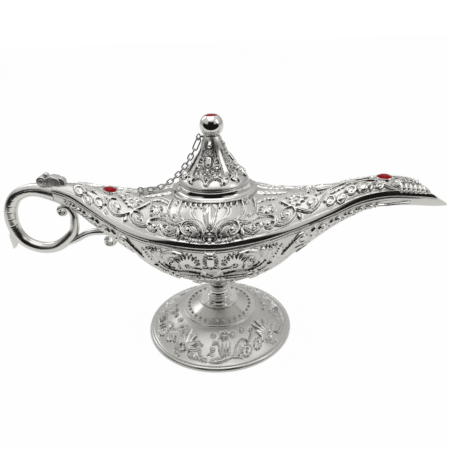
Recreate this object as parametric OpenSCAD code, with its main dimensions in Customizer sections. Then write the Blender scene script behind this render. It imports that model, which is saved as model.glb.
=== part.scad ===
// Genie oil lamp: a footed boat-shaped body of two cast shells with a spout,
// a scroll handle, and a bell lid that hangs on a link chain.
// Frame: +Z up, origin at the centre of the foot's underside, spout to +X,
// handle to -X.

/* [Body] */
// Reach of the spout lip from the lamp's axis
spout_reach = 106.2; // [95:0.2:120]
// Reach of the body's tail, where the handle is joined, from the axis
tail_reach = 75.5; // [68:0.5:84]
// Half of the body's width at the middle
body_half_w = 32.3; // [28:0.1:36]
// Height of the seam between the shells at the middle
seam_z = 62; // [56:0.5:68]
// Rise of the seam from the middle to the ends
sheer = 15; // [12:0.5:17]
// Height of the upper shell's crown above the seam at the middle
crown_h = 18.5; // [17:0.1:20]
// Depth of the lower shell below the seam at the middle
keel_d = 31; // [27:0.5:34]
// Wall of both shells
shell_wall = 1.8; // [1.4:0.1:2.2]
// Gap left at the seam between the shells
seam_gap = 0.15; // [0.1:0.05:0.3]
// How far the mouth slants back from the rim to the crown
mouth_slant = 10.5; // [8:0.5:14]
// Bare lip that the lower shell leaves past the upper one
lip_len = 6; // [4:0.5:8]

/* [Foot and stem] */
// Radius of the foot
foot_r = 37.3; // [33:0.1:41]
// Height of the foot's bevelled edge band
foot_edge_h = 2.2; // [1.8:0.1:3]
// Wall of the hollow foot
foot_wall = 2; // [1.6:0.1:2.6]
// Radius of the foot's upper tier
tier_r = 18.6; // [17:0.1:20]
// Height of the foot's upper tier
tier_z = 12.4; // [11:0.1:14]
// Height of the foot's top, where the stem stands
foot_top_z = 15.6; // [15:0.1:17]
// Number of beads round the upper tier
bead_count = 32; // [24:1:40]
// Radius of one bead
bead_r = 0.8; // [0.6:0.05:1]
// Radius of the stem's saucer
saucer_r = 9.6; // [8.5:0.1:11]
// Radius of the stem's ring
stem_ring_r = 6.4; // [5.8:0.1:7.2]
// Radius of the stem's neck
neck_r = 4.1; // [3.6:0.1:5]
// Radius of the stem's head, under the body
stem_head_r = 7; // [6:0.1:8]
// Radius of the clamp screw
screw_r = 2; // [1.6:0.1:2.4]

/* [Lid] */
// Radius of the lid at its rim
lid_r = 16.1; // [15:0.1:17]
// Height of the face that the lid rests on
lid_seat_z = 80.7; // [79.5:0.1:82]
// Height of the lid from its seat to its neck
lid_h = 21.2; // [19:0.1:24]
// Radius of the lid's neck under the ball
lid_neck_r = 3.6; // [3.2:0.1:4.2]
// Wall of the lid
lid_wall = 1.6; // [1.3:0.1:2]
// Depth of the lid's spigot in the collar
spigot_d = 2.8; // [2:0.1:3.2]
// Clearance between the spigot and the collar's bore
spigot_gap = 0.4; // [0.3:0.05:0.6]
// Radius of the finial ball
ball_r = 5.26; // [4.6:0.02:6]
// Radius of the collar where it meets the shell
collar_r = 19.2; // [18:0.1:20]
// How far the lid lifts before its chain is taut
lid_lift = 3.2; // [3:0.1:4]

/* [Gems] */
// Diameter of the two stones on the body
gem_d = 6.4; // [5.6:0.1:7]
// Width of the setting's edge round a stone
bezel_edge = 0.5; // [0.4:0.05:0.8]
// Place of the handle-side stone, as a share of the tail's reach
tail_gem_u = 0.655; // [0.6:0.005:0.7]
// Place of the spout-side stone, as a share of the spout's reach
spout_gem_u = 0.724; // [0.7:0.005:0.76]
// Diameter of the stone in the finial
finial_gem_d = 5.3; // [4.6:0.1:5.6]

/* [Handle] */
// Reach of the handle's outer edge past the tail
handle_out = 28.6; // [26:0.2:32]
// Height of the handle's loop, between the middles of its bars
handle_drop = 30.8; // [28:0.2:33]
// Half thickness of the handle bar
bar_r = 3.1; // [2.6:0.1:3.5]
// Width of the thumb rest
thumb_w = 6; // [4.5:0.5:7]

/* [Chain] */
// Thickness of the chain's wire
wire_d = 0.6; // [0.5:0.05:0.65]
// Outer width of a link
link_w = 2.6; // [2.4:0.1:3]
// Play between two links
link_play = 0.1; // [0.06:0.02:0.16]
// Length that the chain has to spare when the lid is lifted
chain_slack = 0.5; // [0.1:0.1:0.7]
// Distance of the chain's eye on the body from the lid's edge
eye_out = 18.6; // [18:0.1:20]
// Middle radius of the two eyes
eye_r = 1.3; // [1.2:0.05:1.5]
// Thickness of the eyes' wire
eye_wire_d = 0.6; // [0.5:0.05:0.7]
// Turn of the lid's eye away from the lamp's long axis
eye_turn = 60; // [55:1:75]

/* [Hidden] */
$fn = 64;

silver = "silver";
ruby = "firebrick";
// Clearance of parts that are set into a hole
set_gap = 0.05;

// The body's lines. Each row is one station along the body: its place as a
// share of the tail's or the spout's reach, then shares of the half width,
// the sheer, the crown and the keel, and the roundness of the upper section,
// where 2 is an ellipse and less is nearer to a gable.
LINES = [
    [-1.000, 0.142, 1.040, 0.145, 2.0, 0.235],
    [-0.887, 0.195, 0.887, 0.233, 1.9, 0.280],
    [-0.742, 0.372, 0.600, 0.368, 1.6, 0.395],
    [-0.530, 0.656, 0.247, 0.485, 1.5, 0.535],
    [-0.331, 0.861, 0.087, 0.675, 1.6, 0.820],
    [ 0.000, 1.000, 0.000, 1.000, 2.1, 1.000],
    [ 0.188, 0.854, 0.060, 0.735, 1.8, 0.890],
    [ 0.320, 0.647, 0.173, 0.600, 1.5, 0.687],
    [ 0.489, 0.402, 0.427, 0.453, 1.7, 0.350],
    [ 0.611, 0.266, 0.713, 0.374, 2.0, 0.256],
    [ 0.724, 0.226, 0.853, 0.345, 2.0, 0.220],
    [ 0.846, 0.204, 0.820, 0.290, 2.0, 0.192],
    [ 0.940, 0.127, 0.680, 0.185, 2.0, 0.150],
    [ 1.000, 0.022, 0.440, 0.040, 2.0, 0.036]];
WIDTH = 1;
RIM = 2;
CROWN = 3;
ROUND = 4;
KEEL = 5;

// Slope of one column of a table at row i, from the rows beside it
function slope(t, i, c) =
    let (a = max(0, i - 1), b = min(len(t) - 1, i + 1))
    (t[b][c] - t[a][c]) / (t[b][0] - t[a][0]);

// Index of the row that place u follows
function row_of(t, u, i = 0) =
    i >= len(t) - 2 || u < t[i + 1][0] ? i : row_of(t, u, i + 1);

// Smooth curve through one column of a table
function curve(t, u, c) =
    let (i = row_of(t, u), h = t[i + 1][0] - t[i][0], s = (u - t[i][0]) / h)
    t[i][c] * (1 + 2 * s) * pow(1 - s, 2)
        + t[i + 1][c] * s * s * (3 - 2 * s)
        + h * slope(t, i, c) * s * pow(1 - s, 2)
        - h * slope(t, i + 1, c) * s * s * (1 - s);

// The same curves in real sizes, at a place x along the body
function share(x) = x < 0 ? x / tail_reach : x / spout_reach;
function half_w(x) = body_half_w * curve(LINES, share(x), WIDTH);
function rim_z(x) = seam_z + sheer * curve(LINES, share(x), RIM);
function crown(x) = crown_h * curve(LINES, share(x), CROWN);
function roundness(x) = curve(LINES, share(x), ROUND);
function keel(x) = keel_d * curve(LINES, share(x), KEEL);
function crest_z(x) = rim_z(x) + crown(x);
function keel_z(x) = rim_z(x) - keel(x);
// Tilt of the crest at x, in degrees
function crest_tilt(x) = atan2(crest_z(x + 1) - crest_z(x - 1), 2);

// Point of a section with half width w, height h and roundness p, at angle a
function section(w, h, p, a) =
    [w * sign(cos(a)) * pow(abs(cos(a)), 2 / p), h * pow(abs(sin(a)), 2 / p)];

// Two triangles for each cell between two rows of n points
function cells(a, b, n, turned) = [
    for (j = [0 : n - 2])
        each turned
            ? [[a + j, a + j + 1, b + j], [a + j + 1, b + j + 1, b + j]]
            : [[a + j, b + j, a + j + 1], [a + j + 1, b + j, b + j + 1]]];

// A fan that closes one row of n points
function fan(a, n, turned) = [
    for (j = [1 : n - 2])
        turned ? [a, a + j, a + j + 1] : [a, a + j + 1, a + j]];

// One half of the hollow hull: the side up or down from the seam, along xs.
// The cavity runs from station i_in to station i_out, and where that is the
// last one, the end is open.
module half_hull(xs, up, i_in, i_out, slant) {
    n = 21;
    last = len(xs) - 1;
    lift = up ? seam_gap : 0;
    // Share of the slant that a station takes, past the spout's middle
    function back(x, a) =
        slant * pow(sin(a), 1.4)
            * pow(max(0, (x - 0.5 * spout_reach) / (xs[last] - 0.5 * spout_reach)), 1.5);
    function ring(x, wall) = [
        for (j = [0 : n - 1])
            let (a = 180 * j / (n - 1),
                 at = x - back(x, a),
                 h = up ? crown(at) : keel(at),
                 p = up ? roundness(at) : 2,
                 q = section(half_w(at) - wall, h - wall, p, a))
            [at, q[0], rim_z(at) + (up ? lift + q[1] : -q[1])]];
    outer = [for (x = xs) each ring(x, 0)];
    inner = [for (i = [i_in : i_out]) each ring(xs[i], shell_wall)];
    base = len(outer);
    open_end = i_out == last;
    // First point of an outer and of an inner ring
    function o(i) = i * n;
    function c(i) = base + (i - i_in) * n;
    faces = concat(
        [for (i = [0 : last - 1]) each cells(o(i), o(i + 1), n, !up)],
        [for (i = [i_in : i_out - 1]) each cells(c(i), c(i + 1), n, up)],
        fan(o(0), n, up),
        fan(c(i_in), n, !up),
        open_end ? cells(o(last), c(last), n, !up) : fan(o(last), n, !up),
        open_end ? [] : fan(c(i_out), n, up),
        // The seam's face, beside the cavity and across the solid ends
        [for (i = [i_in : i_out - 1], side = [0, 1])
            let (k = side == 0 ? 0 : n - 1, turn = (side == 0) != up)
            each flat(o(i) + k, o(i + 1) + k, c(i + 1) + k, c(i) + k, turn)],
        [for (i = [0 : i_in - 2])
            each flat(o(i), o(i) + n - 1, o(i + 1) + n - 1, o(i + 1), up)],
        end_face(o(i_in - 1), o(i_in), c(i_in), n, up),
        open_end ? [] : concat(
            end_face(o(i_out + 1), o(i_out), c(i_out), n, !up),
            i_out + 1 >= last ? [] : [for (i = [i_out + 1 : last - 1])
                each flat(o(i), o(i) + n - 1, o(i + 1) + n - 1, o(i + 1), up)]));
    polyhedron(concat(outer, inner), faces, convexity = 8);
}

// A four-sided face as two triangles
function flat(a, b, c, d, turned) =
    turned ? [[a, b, c], [a, c, d]] : [[a, c, b], [a, d, c]];

// The face between a solid station and the first one of the cavity
function end_face(solid, edge, cave, n, turned) =
    let (m = n - 1, t = [
        [solid, solid + m, cave + m], [solid, cave + m, cave],
        [solid, cave, edge], [solid + m, edge + m, cave + m]])
    [for (f = t) turned ? f : [f[0], f[2], f[1]]];

// Stations along the body from a to b
function stations(a, b, n) = [for (i = [0 : n]) a + (b - a) * i / n];

upper_end = spout_reach - lip_len;
upper_xs = stations(-tail_reach, upper_end, 44);
lower_xs = stations(-tail_reach, spout_reach, 46);
// The cavity starts this many stations in from the tail
cave_start = 5;
// and in the lower shell ends this many before the lip's tip
cave_stop = 2;

// Seats that the shells share with what stands on them
boss_r = stem_head_r + 0.5;
boss_z = keel_z(0) - 0.6;
boss_top = keel_z(0) + shell_wall + 0.9;
tail_gem_x = -tail_gem_u * tail_reach;
spout_gem_x = spout_gem_u * spout_reach;
bezel_r = gem_d / 2 + bezel_edge;
bezel_h = 2.4;
bezel_proud = 0.5;

// Places what a child draws about the crest at x, tilted as the crest is
module on_crest(x) {
    translate([x, 0, crest_z(x) + seam_gap])
        rotate([0, -crest_tilt(x), 0])
            children();
}

module lower_shell() {
    color(silver)
    difference() {
        union() {
            half_hull(lower_xs, false, cave_start, len(lower_xs) - 1 - cave_stop, 0);
            translate([0, 0, boss_z])
                cylinder(r = boss_r, h = boss_top - boss_z);
        }
        translate([0, 0, boss_z - 1])
            cylinder(r = screw_r + 0.1, h = shell_wall + 5);
    }
}

module upper_shell() {
    color(silver)
    difference() {
        half_hull(upper_xs, true, cave_start, len(upper_xs) - 1, mouth_slant);
        translate([0, 0, seam_z + crown_h / 2])
            cylinder(r = collar_r + set_gap, h = crown_h);
        for (x = [tail_gem_x, spout_gem_x])
            on_crest(x)
                translate([0, 0, -bezel_h - 2])
                    cylinder(r = bezel_r + set_gap, h = bezel_h + 4);
        translate([shell_eye_x, 0, crest_z(shell_eye_x) - 4])
            cylinder(r = eye_peg_r + set_gap, h = 6);
    }
}

// Height of the collar's foot, inside the shell
collar_foot_z = seam_z + crown_h * 0.5;
// Height of the line where the collar's hollow flank starts
collar_line_z = lid_seat_z - 3.3;
bore_r = lid_r - 1.1;

// A quarter turn of points about [x, z], from angle a to b
function arc(x, z, r, a, b, n = 8) =
    [for (i = [0 : n]) let (t = a + (b - a) * i / n) [x + r * cos(t), z + r * sin(t)]];

module collar() {
    // The hollow flank is one arc that leaves the foot and ends at the seat
    flank_r = 4.6;
    color(silver)
    rotate_extrude($fn = 96)
    difference() {
        polygon([[bore_r, collar_foot_z], [collar_r, collar_foot_z],
                 [collar_r, collar_line_z], [lid_r + 0.2, lid_seat_z - 0.4],
                 [lid_r - 0.2, lid_seat_z], [bore_r, lid_seat_z]]);
        translate([lid_r + 0.25 + flank_r, lid_seat_z + 0.1])
            circle(r = flank_r, $fn = 48);
    }
}

lid_z = lid_seat_z;
// The lid's outline: shares of its height and of its radius
LID_LINE = [
    [0.00, 0.985], [0.05, 1.000], [0.12, 0.945], [0.20, 0.840], [0.33, 0.685],
    [0.46, 0.560], [0.60, 0.435], [0.72, 0.352], [0.86, 0.295]];
lid_neck_z = lid_z + lid_h;

module lid() {
    spigot_r = bore_r - spigot_gap;
    steps = 28;
    tall = LID_LINE[len(LID_LINE) - 1][0];
    function line(t, wall = 0) = [lid_r * curve(LID_LINE, t, 1) - wall, lid_z + lid_h * t];
    outline = [for (k = [0 : steps]) line(tall * k / steps)];
    hollow = [for (t = [0.62, 0.48, 0.34, 0.22, 0.12, 0.06]) line(t, lid_wall)];
    top = [lid_neck_r, lid_neck_z];
    stud_r = 1.5 + set_gap;
    color(silver)
    difference() {
        rotate_extrude($fn = 96)
            polygon(concat(
                [[spigot_r - lid_wall, lid_z - spigot_d],
                 [spigot_r, lid_z - spigot_d], [spigot_r, lid_z]],
                outline, [top, [stud_r, lid_neck_z], [stud_r, lid_neck_z - 5],
                 [stud_r + 0.6, lid_neck_z - 6]],
                hollow, [[spigot_r - lid_wall, lid_z]]));
        translate([lid_peg_x + set_gap, lid_eye_side[1], lid_eye_z])
            rotate([0, -90, 0])
                cylinder(r = eye_peg_r + set_gap, h = lid_neck_r);
    }
}

ball_z = lid_neck_z + ball_r * 0.84;
finial_top = ball_z + sqrt(pow(ball_r, 2) - pow(finial_gem_d / 2 + 0.25, 2));
finial_seat = finial_top - 0.9;

module finial_ball() {
    stud_r = 1.5;
    color(silver)
    difference() {
        union() {
            intersection() {
                translate([0, 0, ball_z])
                    sphere(r = ball_r, $fn = 64);
                translate([0, 0, lid_neck_z])
                    cylinder(r = ball_r + 1, h = finial_top - lid_neck_z);
            }
            translate([0, 0, lid_neck_z - 4.5])
                cylinder(r = stud_r, h = 5.5);
        }
        translate([0, 0, finial_seat])
            cylinder(d = finial_gem_d + 2 * set_gap, h = 4);
    }
}

module finial_gem() {
    color(ruby)
    translate([0, 0, finial_seat])
        rotate_extrude()
            polygon([[0, 0], [finial_gem_d / 2, 0], [finial_gem_d / 2, 0.8],
                     [finial_gem_d * 0.42, 1.15], [0, 1.3]]);
}

// A cup with a rim that holds a stone, its top level with z = bezel_proud
module bezel() {
    color(silver)
    rotate_extrude()
        polygon([[0, bezel_proud - bezel_h], [bezel_r, bezel_proud - bezel_h],
                 [bezel_r, bezel_proud - 0.3], [bezel_r - 0.2, bezel_proud],
                 [gem_d / 2 + set_gap, bezel_proud],
                 [gem_d / 2 + set_gap, bezel_proud - 0.9],
                 [0, bezel_proud - 0.9]]);
}

// A round stone with a flat table, in its cup
module stone() {
    color(ruby)
    translate([0, 0, bezel_proud - 0.9])
        rotate_extrude()
            polygon([[0, 0], [gem_d / 2, 0], [gem_d / 2, 0.8],
                     [gem_d * 0.36, 1.5], [gem_d * 0.22, 1.8], [0, 1.8]]);
}

// Bar swept along a path in the lamp's middle plane, from one share of its
// length to another. Each row of the path is [x, z, half thickness, half
// width], and a smooth curve joins the rows.
function path_at(p, s) =
    let (n = len(p) - 1, k = min(n - 1, floor(s * n)), f = s * n - k,
         a = p[max(0, k - 1)], b = p[k], c = p[k + 1], d = p[min(n, k + 2)])
    0.5 * (2 * b + (c - a) * f + (2 * a - 5 * b + 4 * c - d) * f * f
        + (3 * b - a - 3 * c + d) * f * f * f);
module bar(path, steps, sides = 12, from = 0, to = 1) {
    rings = [for (i = [0 : steps])
        let (s = from + (to - from) * i / steps, here = path_at(path, s),
             ahead = path_at(path, min(1, s + 0.002)),
             behind = path_at(path, max(0, s - 0.002)),
             dx = ahead[0] - behind[0], dz = ahead[1] - behind[1],
             l = sqrt(dx * dx + dz * dz), nx = -dz / l, nz = dx / l)
        each [for (j = [0 : sides - 1])
            let (a = 360 * j / sides)
            [here[0] + nx * here[2] * cos(a), here[3] * sin(a),
             here[1] + nz * here[2] * cos(a)]]];
    walls = [for (i = [0 : steps - 1], j = [0 : sides - 1])
        let (a = i * sides + j, b = i * sides + (j + 1) % sides,
             c = a + sides, d = b + sides)
        each [[a, b, c], [b, d, c]]];
    polyhedron(rings, concat(walls, fan(0, sides, false),
        fan(steps * sides, sides, true)), convexity = 8);
}

// The handle's frame: its root at the tail, and the middle of its loop
root_z = rim_z(-tail_reach) - keel(-tail_reach) * 0.3;
loop_x = -tail_reach - handle_out / 2 + bar_r / 2;
loop_top = root_z + 1.7;
// A point of the handle: shares of its reach and drop from the root
function on_handle(u, v, t, w) =
    [-tail_reach - (handle_out - bar_r) * u, loop_top - handle_drop * v, bar_r * t, bar_r * w];
curl_x = -tail_reach + 1.3;
curl_z = loop_top - handle_drop * 0.36;
// A point of the curl, at angle a on a circle of radius r about its middle
function on_curl(a, r, t, w) =
    [curl_x + r * cos(a), curl_z + r * sin(a), bar_r * t, bar_r * w];

LOOP = [
    [-tail_reach - 0.05, root_z, keel(-tail_reach) * 0.62, half_w(-tail_reach)],
    on_handle(0.17, 0.025, 1.24, 1.25), on_handle(0.36, 0.000, 1.06, 1.10),
    on_handle(0.57, 0.015, 0.96, 1.00), on_handle(0.79, 0.100, 0.96, 0.95),
    on_handle(0.94, 0.265, 1.03, 0.95), on_handle(1.00, 0.470, 1.06, 0.95),
    on_handle(0.97, 0.690, 1.00, 0.95), on_handle(0.83, 0.890, 0.95, 0.92),
    on_handle(0.57, 1.000, 0.93, 0.90), on_handle(0.28, 1.000, 0.90, 0.88),
    on_handle(0.05, 0.910, 0.88, 0.84), on_handle(-0.18, 0.725, 0.78, 0.76),
    on_handle(-0.24, 0.530, 0.66, 0.70),
    on_curl(-18, 5.1, 0.56, 0.64), on_curl(28, 3.55, 0.48, 0.60),
    on_curl(80, 2.25, 0.40, 0.58), on_curl(150, 2.05, 0.36, 0.56),
    on_curl(225, 1.85, 0.34, 0.54), on_curl(300, 1.5, 0.34, 0.54),
    on_curl(380, 0.8, 0.32, 0.52)];

// The loop is cut square at the tail, and its curl where it meets the keel
module handle_loop() {
    tail = -tail_reach - set_gap;
    color(silver)
    difference() {
        bar(LOOP, 80);
        translate([0, 10, 0])
            rotate([90, 0, 0])
                linear_extrude(height = 20)
                    polygon(concat(
                        [for (x = [0 : 2 : 12]) [tail + x, keel_z(tail + x) - 2 * set_gap]],
                        [[tail + 12, root_z + 10], [tail, root_z + 10]]));
    }
}

// The loop with room round it, for what is seated on it: rows a to b
module loop_seat(a, b) {
    rows = len(LOOP) - 1;
    bar([for (p = LOOP) [p[0], p[1], p[2] + set_gap, p[3] + set_gap]],
        4 * (b - a), from = a / rows, to = b / rows);
}

// The strut leaves the loop's foot, rises to the keel and curls under it
strut_curl_x = -tail_reach * 0.708;
strut_curl_z = keel_z(strut_curl_x) - 7;
function on_strut_curl(a, r, t) =
    [strut_curl_x + r * cos(a), strut_curl_z + r * sin(a), bar_r * t, bar_r * 0.6];
STRUT = [
    [LOOP[11][0] + bar_r * 0.6, LOOP[11][1] - 0.4, bar_r * 0.44, bar_r * 0.62],
    [LOOP[11][0] + 6.6, strut_curl_z + 0.6, bar_r * 0.52, bar_r * 0.62],
    [strut_curl_x - 9.6, strut_curl_z + 4.1, bar_r * 0.54, bar_r * 0.62],
    on_strut_curl(118, 5.4, 0.54), on_strut_curl(70, 4.2, 0.48),
    on_strut_curl(15, 3.0, 0.40), on_strut_curl(-50, 2.5, 0.36),
    on_strut_curl(-125, 2.25, 0.34), on_strut_curl(-210, 1.75, 0.32),
    on_strut_curl(-290, 1.0, 0.30)];

module handle_strut() {
    color(silver)
    difference() {
        bar(STRUT, 40, 10);
        loop_seat(9, 14);
    }
}

// A pointed leaf on the loop's outer corner
module handle_leaf() {
    corner = on_handle(0.97, 0.69, 1, 1);
    foot = on_handle(0.83, 0.89, 1, 1);
    color(silver)
    difference() {
        translate([0, 1.3, 0])
            rotate([90, 0, 0])
                linear_extrude(height = 2.6)
                    polygon([
                        [corner[0] - bar_r * 0.7, corner[1] + 0.4],
                        [corner[0] - bar_r * 1.2, corner[1] - 3],
                        [corner[0] - bar_r * 0.7, corner[1] - 6.2],
                        [corner[0] - bar_r * 1.25, corner[1] - 10.8],
                        [corner[0] - bar_r * 0.55, corner[1] - 10.4],
                        [corner[0] + bar_r * 0.35, corner[1] - 9.2],
                        [foot[0] - bar_r * 0.45, foot[1] - bar_r * 0.95],
                        [foot[0] - bar_r * 0.5, foot[1] - bar_r * 0.5]]);
        loop_seat(5, 9);
    }
}

// The thumb rest stands on the bar: a curl, a saddle and a pointed brow
thumb_x = LOOP[2][0] + 0.8;
thumb_z = LOOP[2][1] + LOOP[2][2];

module thumb_rest() {
    brow_end = 6;
    crest_gap = seam_gap + set_gap;
    color(silver)
    difference() {
        union() {
            translate([thumb_x + 3.2, thumb_w / 2, thumb_z + 1.6])
                rotate([90, 0, 0])
                    cylinder(r = 2.4, h = thumb_w, $fn = 40);
            translate([thumb_x + 5, 0, thumb_z + 3.9])
                sphere(r = 1.5, $fn = 32);
            translate([0, thumb_w / 2 - 0.5, 0])
                rotate([90, 0, 0])
                    linear_extrude(height = thumb_w - 1)
                        polygon([
                            [thumb_x + 3, thumb_z - 1], [thumb_x + 4, thumb_z + 2.8],
                            [thumb_x + 8, thumb_z + 3.3], [-tail_reach - 0.6, thumb_z + 3.3],
                            [-tail_reach + 1, thumb_z + 4.4], [-tail_reach + 2.6, thumb_z + 3.6],
                            for (x = [brow_end : -1.5 : 0])
                                [x - tail_reach, crest_z(x - tail_reach) + crest_gap],
                            [-tail_reach - 0.1, thumb_z - 1.2]]);
        }
        loop_seat(0, 5);
    }
}

// The chain: thirteen plain links from the shell's eye, and a long one,
// twice as long, at the lid's
link_count = 13;
pitches = link_count + 2;
eye_peg_r = 0.6;
hook = (wire_d + link_play) / 2;
// The lid's eye is held at its side, where its peg meets the ring
lid_eye_z = lid_neck_z - 0.7;
lid_eye_side = eye_r * [cos(eye_turn), sin(eye_turn)];
lid_peg_x = -(lid_neck_r - 1.4);
lid_eye_x = -(lid_neck_r + 2.4);
// Both ends of the chain, where its end links turn
top_end = [lid_eye_x + 0.19, lid_eye_z - eye_r + 0.37];
shell_eye_x = -lid_r - eye_out;
foot_end = [shell_eye_x + 0.8, crest_z(shell_eye_x) + 2.2];
shell_eye_z = foot_end[1] - 0.45;
chain_span = top_end - foot_end;
// The links are as long as the lifted lid needs
link_pitch = (norm(chain_span + [0, lid_lift]) + chain_slack) / pitches;

// The chain hangs as a loose one does: the slope of its links grows evenly
// from the lowest one up. c is the slope of the middle, k the growth.
function hang(c, k) =
    [for (i = [0 : pitches - 1]) atan(c + (i - (pitches - 1) / 2) * k)];
// From one end of such a chain to the other
function across(t) =
    link_pitch * [[for (a = t) cos(a)] * [for (a = t) 1],
                  [for (a = t) sin(a)] * [for (a = t) 1]];
// The middle slope that points the chain along a direction
function slope_for(k, dir, a = -20, b = 20, n = 36) =
    let (m = (a + b) / 2, v = across(hang(m, k)))
    n == 0 ? m
        : v[1] * dir[0] > v[0] * dir[1] ? slope_for(k, dir, a, m, n - 1)
        : slope_for(k, dir, m, b, n - 1);
// The growth that makes the chain span the distance
function growth_for(span, a = 0.0001, b = 2, n = 30) =
    let (m = (a + b) / 2, v = across(hang(slope_for(m, span), m)))
    n == 0 ? m
        : norm(v) > norm(span) ? growth_for(span, m, b, n - 1)
        : growth_for(span, a, m, n - 1);
chain_growth = growth_for(chain_span);
angles = hang(slope_for(chain_growth, chain_span), chain_growth);
// Place of the joint before link i
function joint_at(i) =
    i == 0 ? foot_end
        : joint_at(i - 1) + link_pitch * [cos(angles[i - 1]), sin(angles[i - 1])];
joints = [for (i = [0 : pitches]) joint_at(i)];

// A wire link with round ends, along X, whose end joints are length apart
module wire_link(length) {
    reach = length / 2 + hook;
    bend = (link_w - wire_d) / 2;
    // Rounded, so that the straight wires end exactly where the bends start
    side = round((reach - bend) * 50) / 50;
    for (e = [0, 180])
        rotate([0, 0, e]) {
            translate([side, 0, 0])
                rotate([0, 0, -90])
                    rotate_extrude(angle = 180, $fn = 32)
                        translate([bend, 0])
                            circle(d = wire_d, $fn = 16);
            translate([-side, bend, 0])
                rotate([0, 90, 0])
                    cylinder(d = wire_d, h = 2 * side, $fn = 16);
        }
}

// Link i lies between its two joints, and every second one is turned
module chain_link(i, length, turned) {
    a = joints[i];
    color(silver)
    translate([a[0], 0, a[1]])
        rotate([0, -angles[i], 0])
            translate([length / 2, 0, 0])
                rotate([turned ? 0 : 90, 0, 0])
                    wire_link(length);
}

module plain_link(i) {
    chain_link(i - 1, link_pitch, (link_count - i) % 2 == 0);
}

module chain_long_link() {
    a = joints[link_count];
    b = joints[link_count + 2];
    color(silver)
    translate([a[0], 0, a[1]])
        rotate([0, -atan2(b[1] - a[1], b[0] - a[0]), 0])
            translate([norm(b - a) / 2, 0, 0])
                rotate([90, 0, 0])
                    wire_link(norm(b - a));
}

module eye_ring() {
    rotate_extrude($fn = 40)
        translate([eye_r, 0])
            circle(d = eye_wire_d, $fn = 20);
}

module shell_eye() {
    color(silver) {
        translate([shell_eye_x, 0, shell_eye_z])
            rotate([90, 0, 0])
                eye_ring();
        translate([shell_eye_x, 0, crest_z(shell_eye_x) - 2.4])
            cylinder(r = eye_peg_r, h = shell_eye_z - eye_r - crest_z(shell_eye_x) + 2.4);
    }
}

module lid_eye() {
    color(silver) {
        translate([lid_eye_x, 0, lid_eye_z])
            rotate([90, 0, eye_turn])
                eye_ring();
        translate([lid_peg_x, lid_eye_side[1], lid_eye_z])
            rotate([0, -90, 0])
                cylinder(r = eye_peg_r, h = lid_peg_x - lid_eye_x - lid_eye_side[0]);
    }
}

// The foot and the stem
stem_z = foot_top_z;
stem_top = boss_z;
screw_bore = screw_r + 0.1;
head_z = 6;

module foot() {
    beads_r = tier_r - 2.8;
    beads_z = tier_z + 1.35;
    color(silver)
    difference() {
        union() {
            rotate_extrude($fn = 128)
                polygon([
                    [foot_r - 2.4, 0], [foot_r, 0], [foot_r, 0.5],
                    [foot_r - 0.5, foot_edge_h - 0.4], [foot_r - 1.4, foot_edge_h],
                    [foot_r - 2.6, foot_edge_h + 0.1], [foot_r * 0.78, tier_z * 0.52],
                    [tier_r + 3.2, tier_z - 1.5], [tier_r + 0.5, tier_z - 0.5],
                    [tier_r + 0.3, tier_z], [tier_r - 0.7, tier_z + 0.25],
                    [tier_r - 1.4, tier_z + 0.2], [beads_r - 1.6, beads_z - 0.15],
                    [saucer_r + 0.9, foot_top_z - 0.3], [saucer_r + 0.4, foot_top_z],
                    [screw_bore, foot_top_z], [screw_bore, head_z],
                    [6, head_z], [6, foot_top_z - foot_wall - 1],
                    [saucer_r, foot_top_z - foot_wall - 1],
                    [tier_r - 1.5, tier_z - foot_wall - 0.4],
                    [foot_r * 0.76, tier_z * 0.52 - foot_wall],
                    [foot_r - 3.4, 1]]);
            for (i = [0 : bead_count - 1])
                rotate([0, 0, 360 * i / bead_count])
                    translate([beads_r, 0, beads_z - 0.2])
                        sphere(r = bead_r, $fn = 16);
        }
    }
}

module stem() {
    ring_z = stem_z + 3.2;
    ring_bulge = 1.35;
    neck_z = ring_z + 2.6;
    flare_z = stem_top - 4.6;
    color(silver)
    rotate_extrude($fn = 96)
        polygon(concat(
            [[screw_bore, stem_z], [saucer_r - 0.4, stem_z], [saucer_r, stem_z + 0.5],
             [saucer_r, stem_z + 1], [saucer_r - 0.5, stem_z + 1.2],
             [saucer_r - 2.2, stem_z + 0.9], [stem_ring_r - 1, stem_z + 1.5]],
            arc(stem_ring_r - ring_bulge, ring_z, ring_bulge, -80, 80),
            [[neck_r + 0.5, neck_z - 1], [neck_r, neck_z], [neck_r, neck_z + 1.6],
             [neck_r + 0.8, neck_z + 1.9], [neck_r + 0.8, neck_z + 2.6],
             [neck_r + 0.3, neck_z + 2.9], [neck_r + 0.9, flare_z + 1.4]],
            [[stem_head_r - 0.6, stem_top - 1.4], [stem_head_r, stem_top - 0.6],
             [stem_head_r, stem_top], [screw_bore, stem_top]]));
}

// The screw runs from under the foot through the stem into the body
washer_t = 0.8;
nut_t = 3.2;
inner_z = boss_top;
screw_tip = inner_z + washer_t + nut_t + 1.4;

module clamp_screw() {
    head_r = screw_r * 1.75;
    color("dimgray")
    difference() {
        union() {
            translate([0, 0, head_z - washer_t - 2.2])
                cylinder(r = head_r, h = 2.2);
            translate([0, 0, head_z - washer_t - 1])
                cylinder(r = screw_r, h = screw_tip - head_z + washer_t + 1);
        }
        translate([-0.5, -head_r - 1, head_z - washer_t - 3.2])
            cube([1, 2 * head_r + 2, 2]);
    }
}

module washer(z, r) {
    color("dimgray")
    translate([0, 0, z])
        difference() {
            cylinder(r = r, h = washer_t);
            translate([0, 0, -1])
                cylinder(r = screw_bore, h = washer_t + 2);
        }
}

module foot_washer() {
    washer(head_z - washer_t, 5);
}

module nut_washer() {
    washer(inner_z, 5);
}

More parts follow.
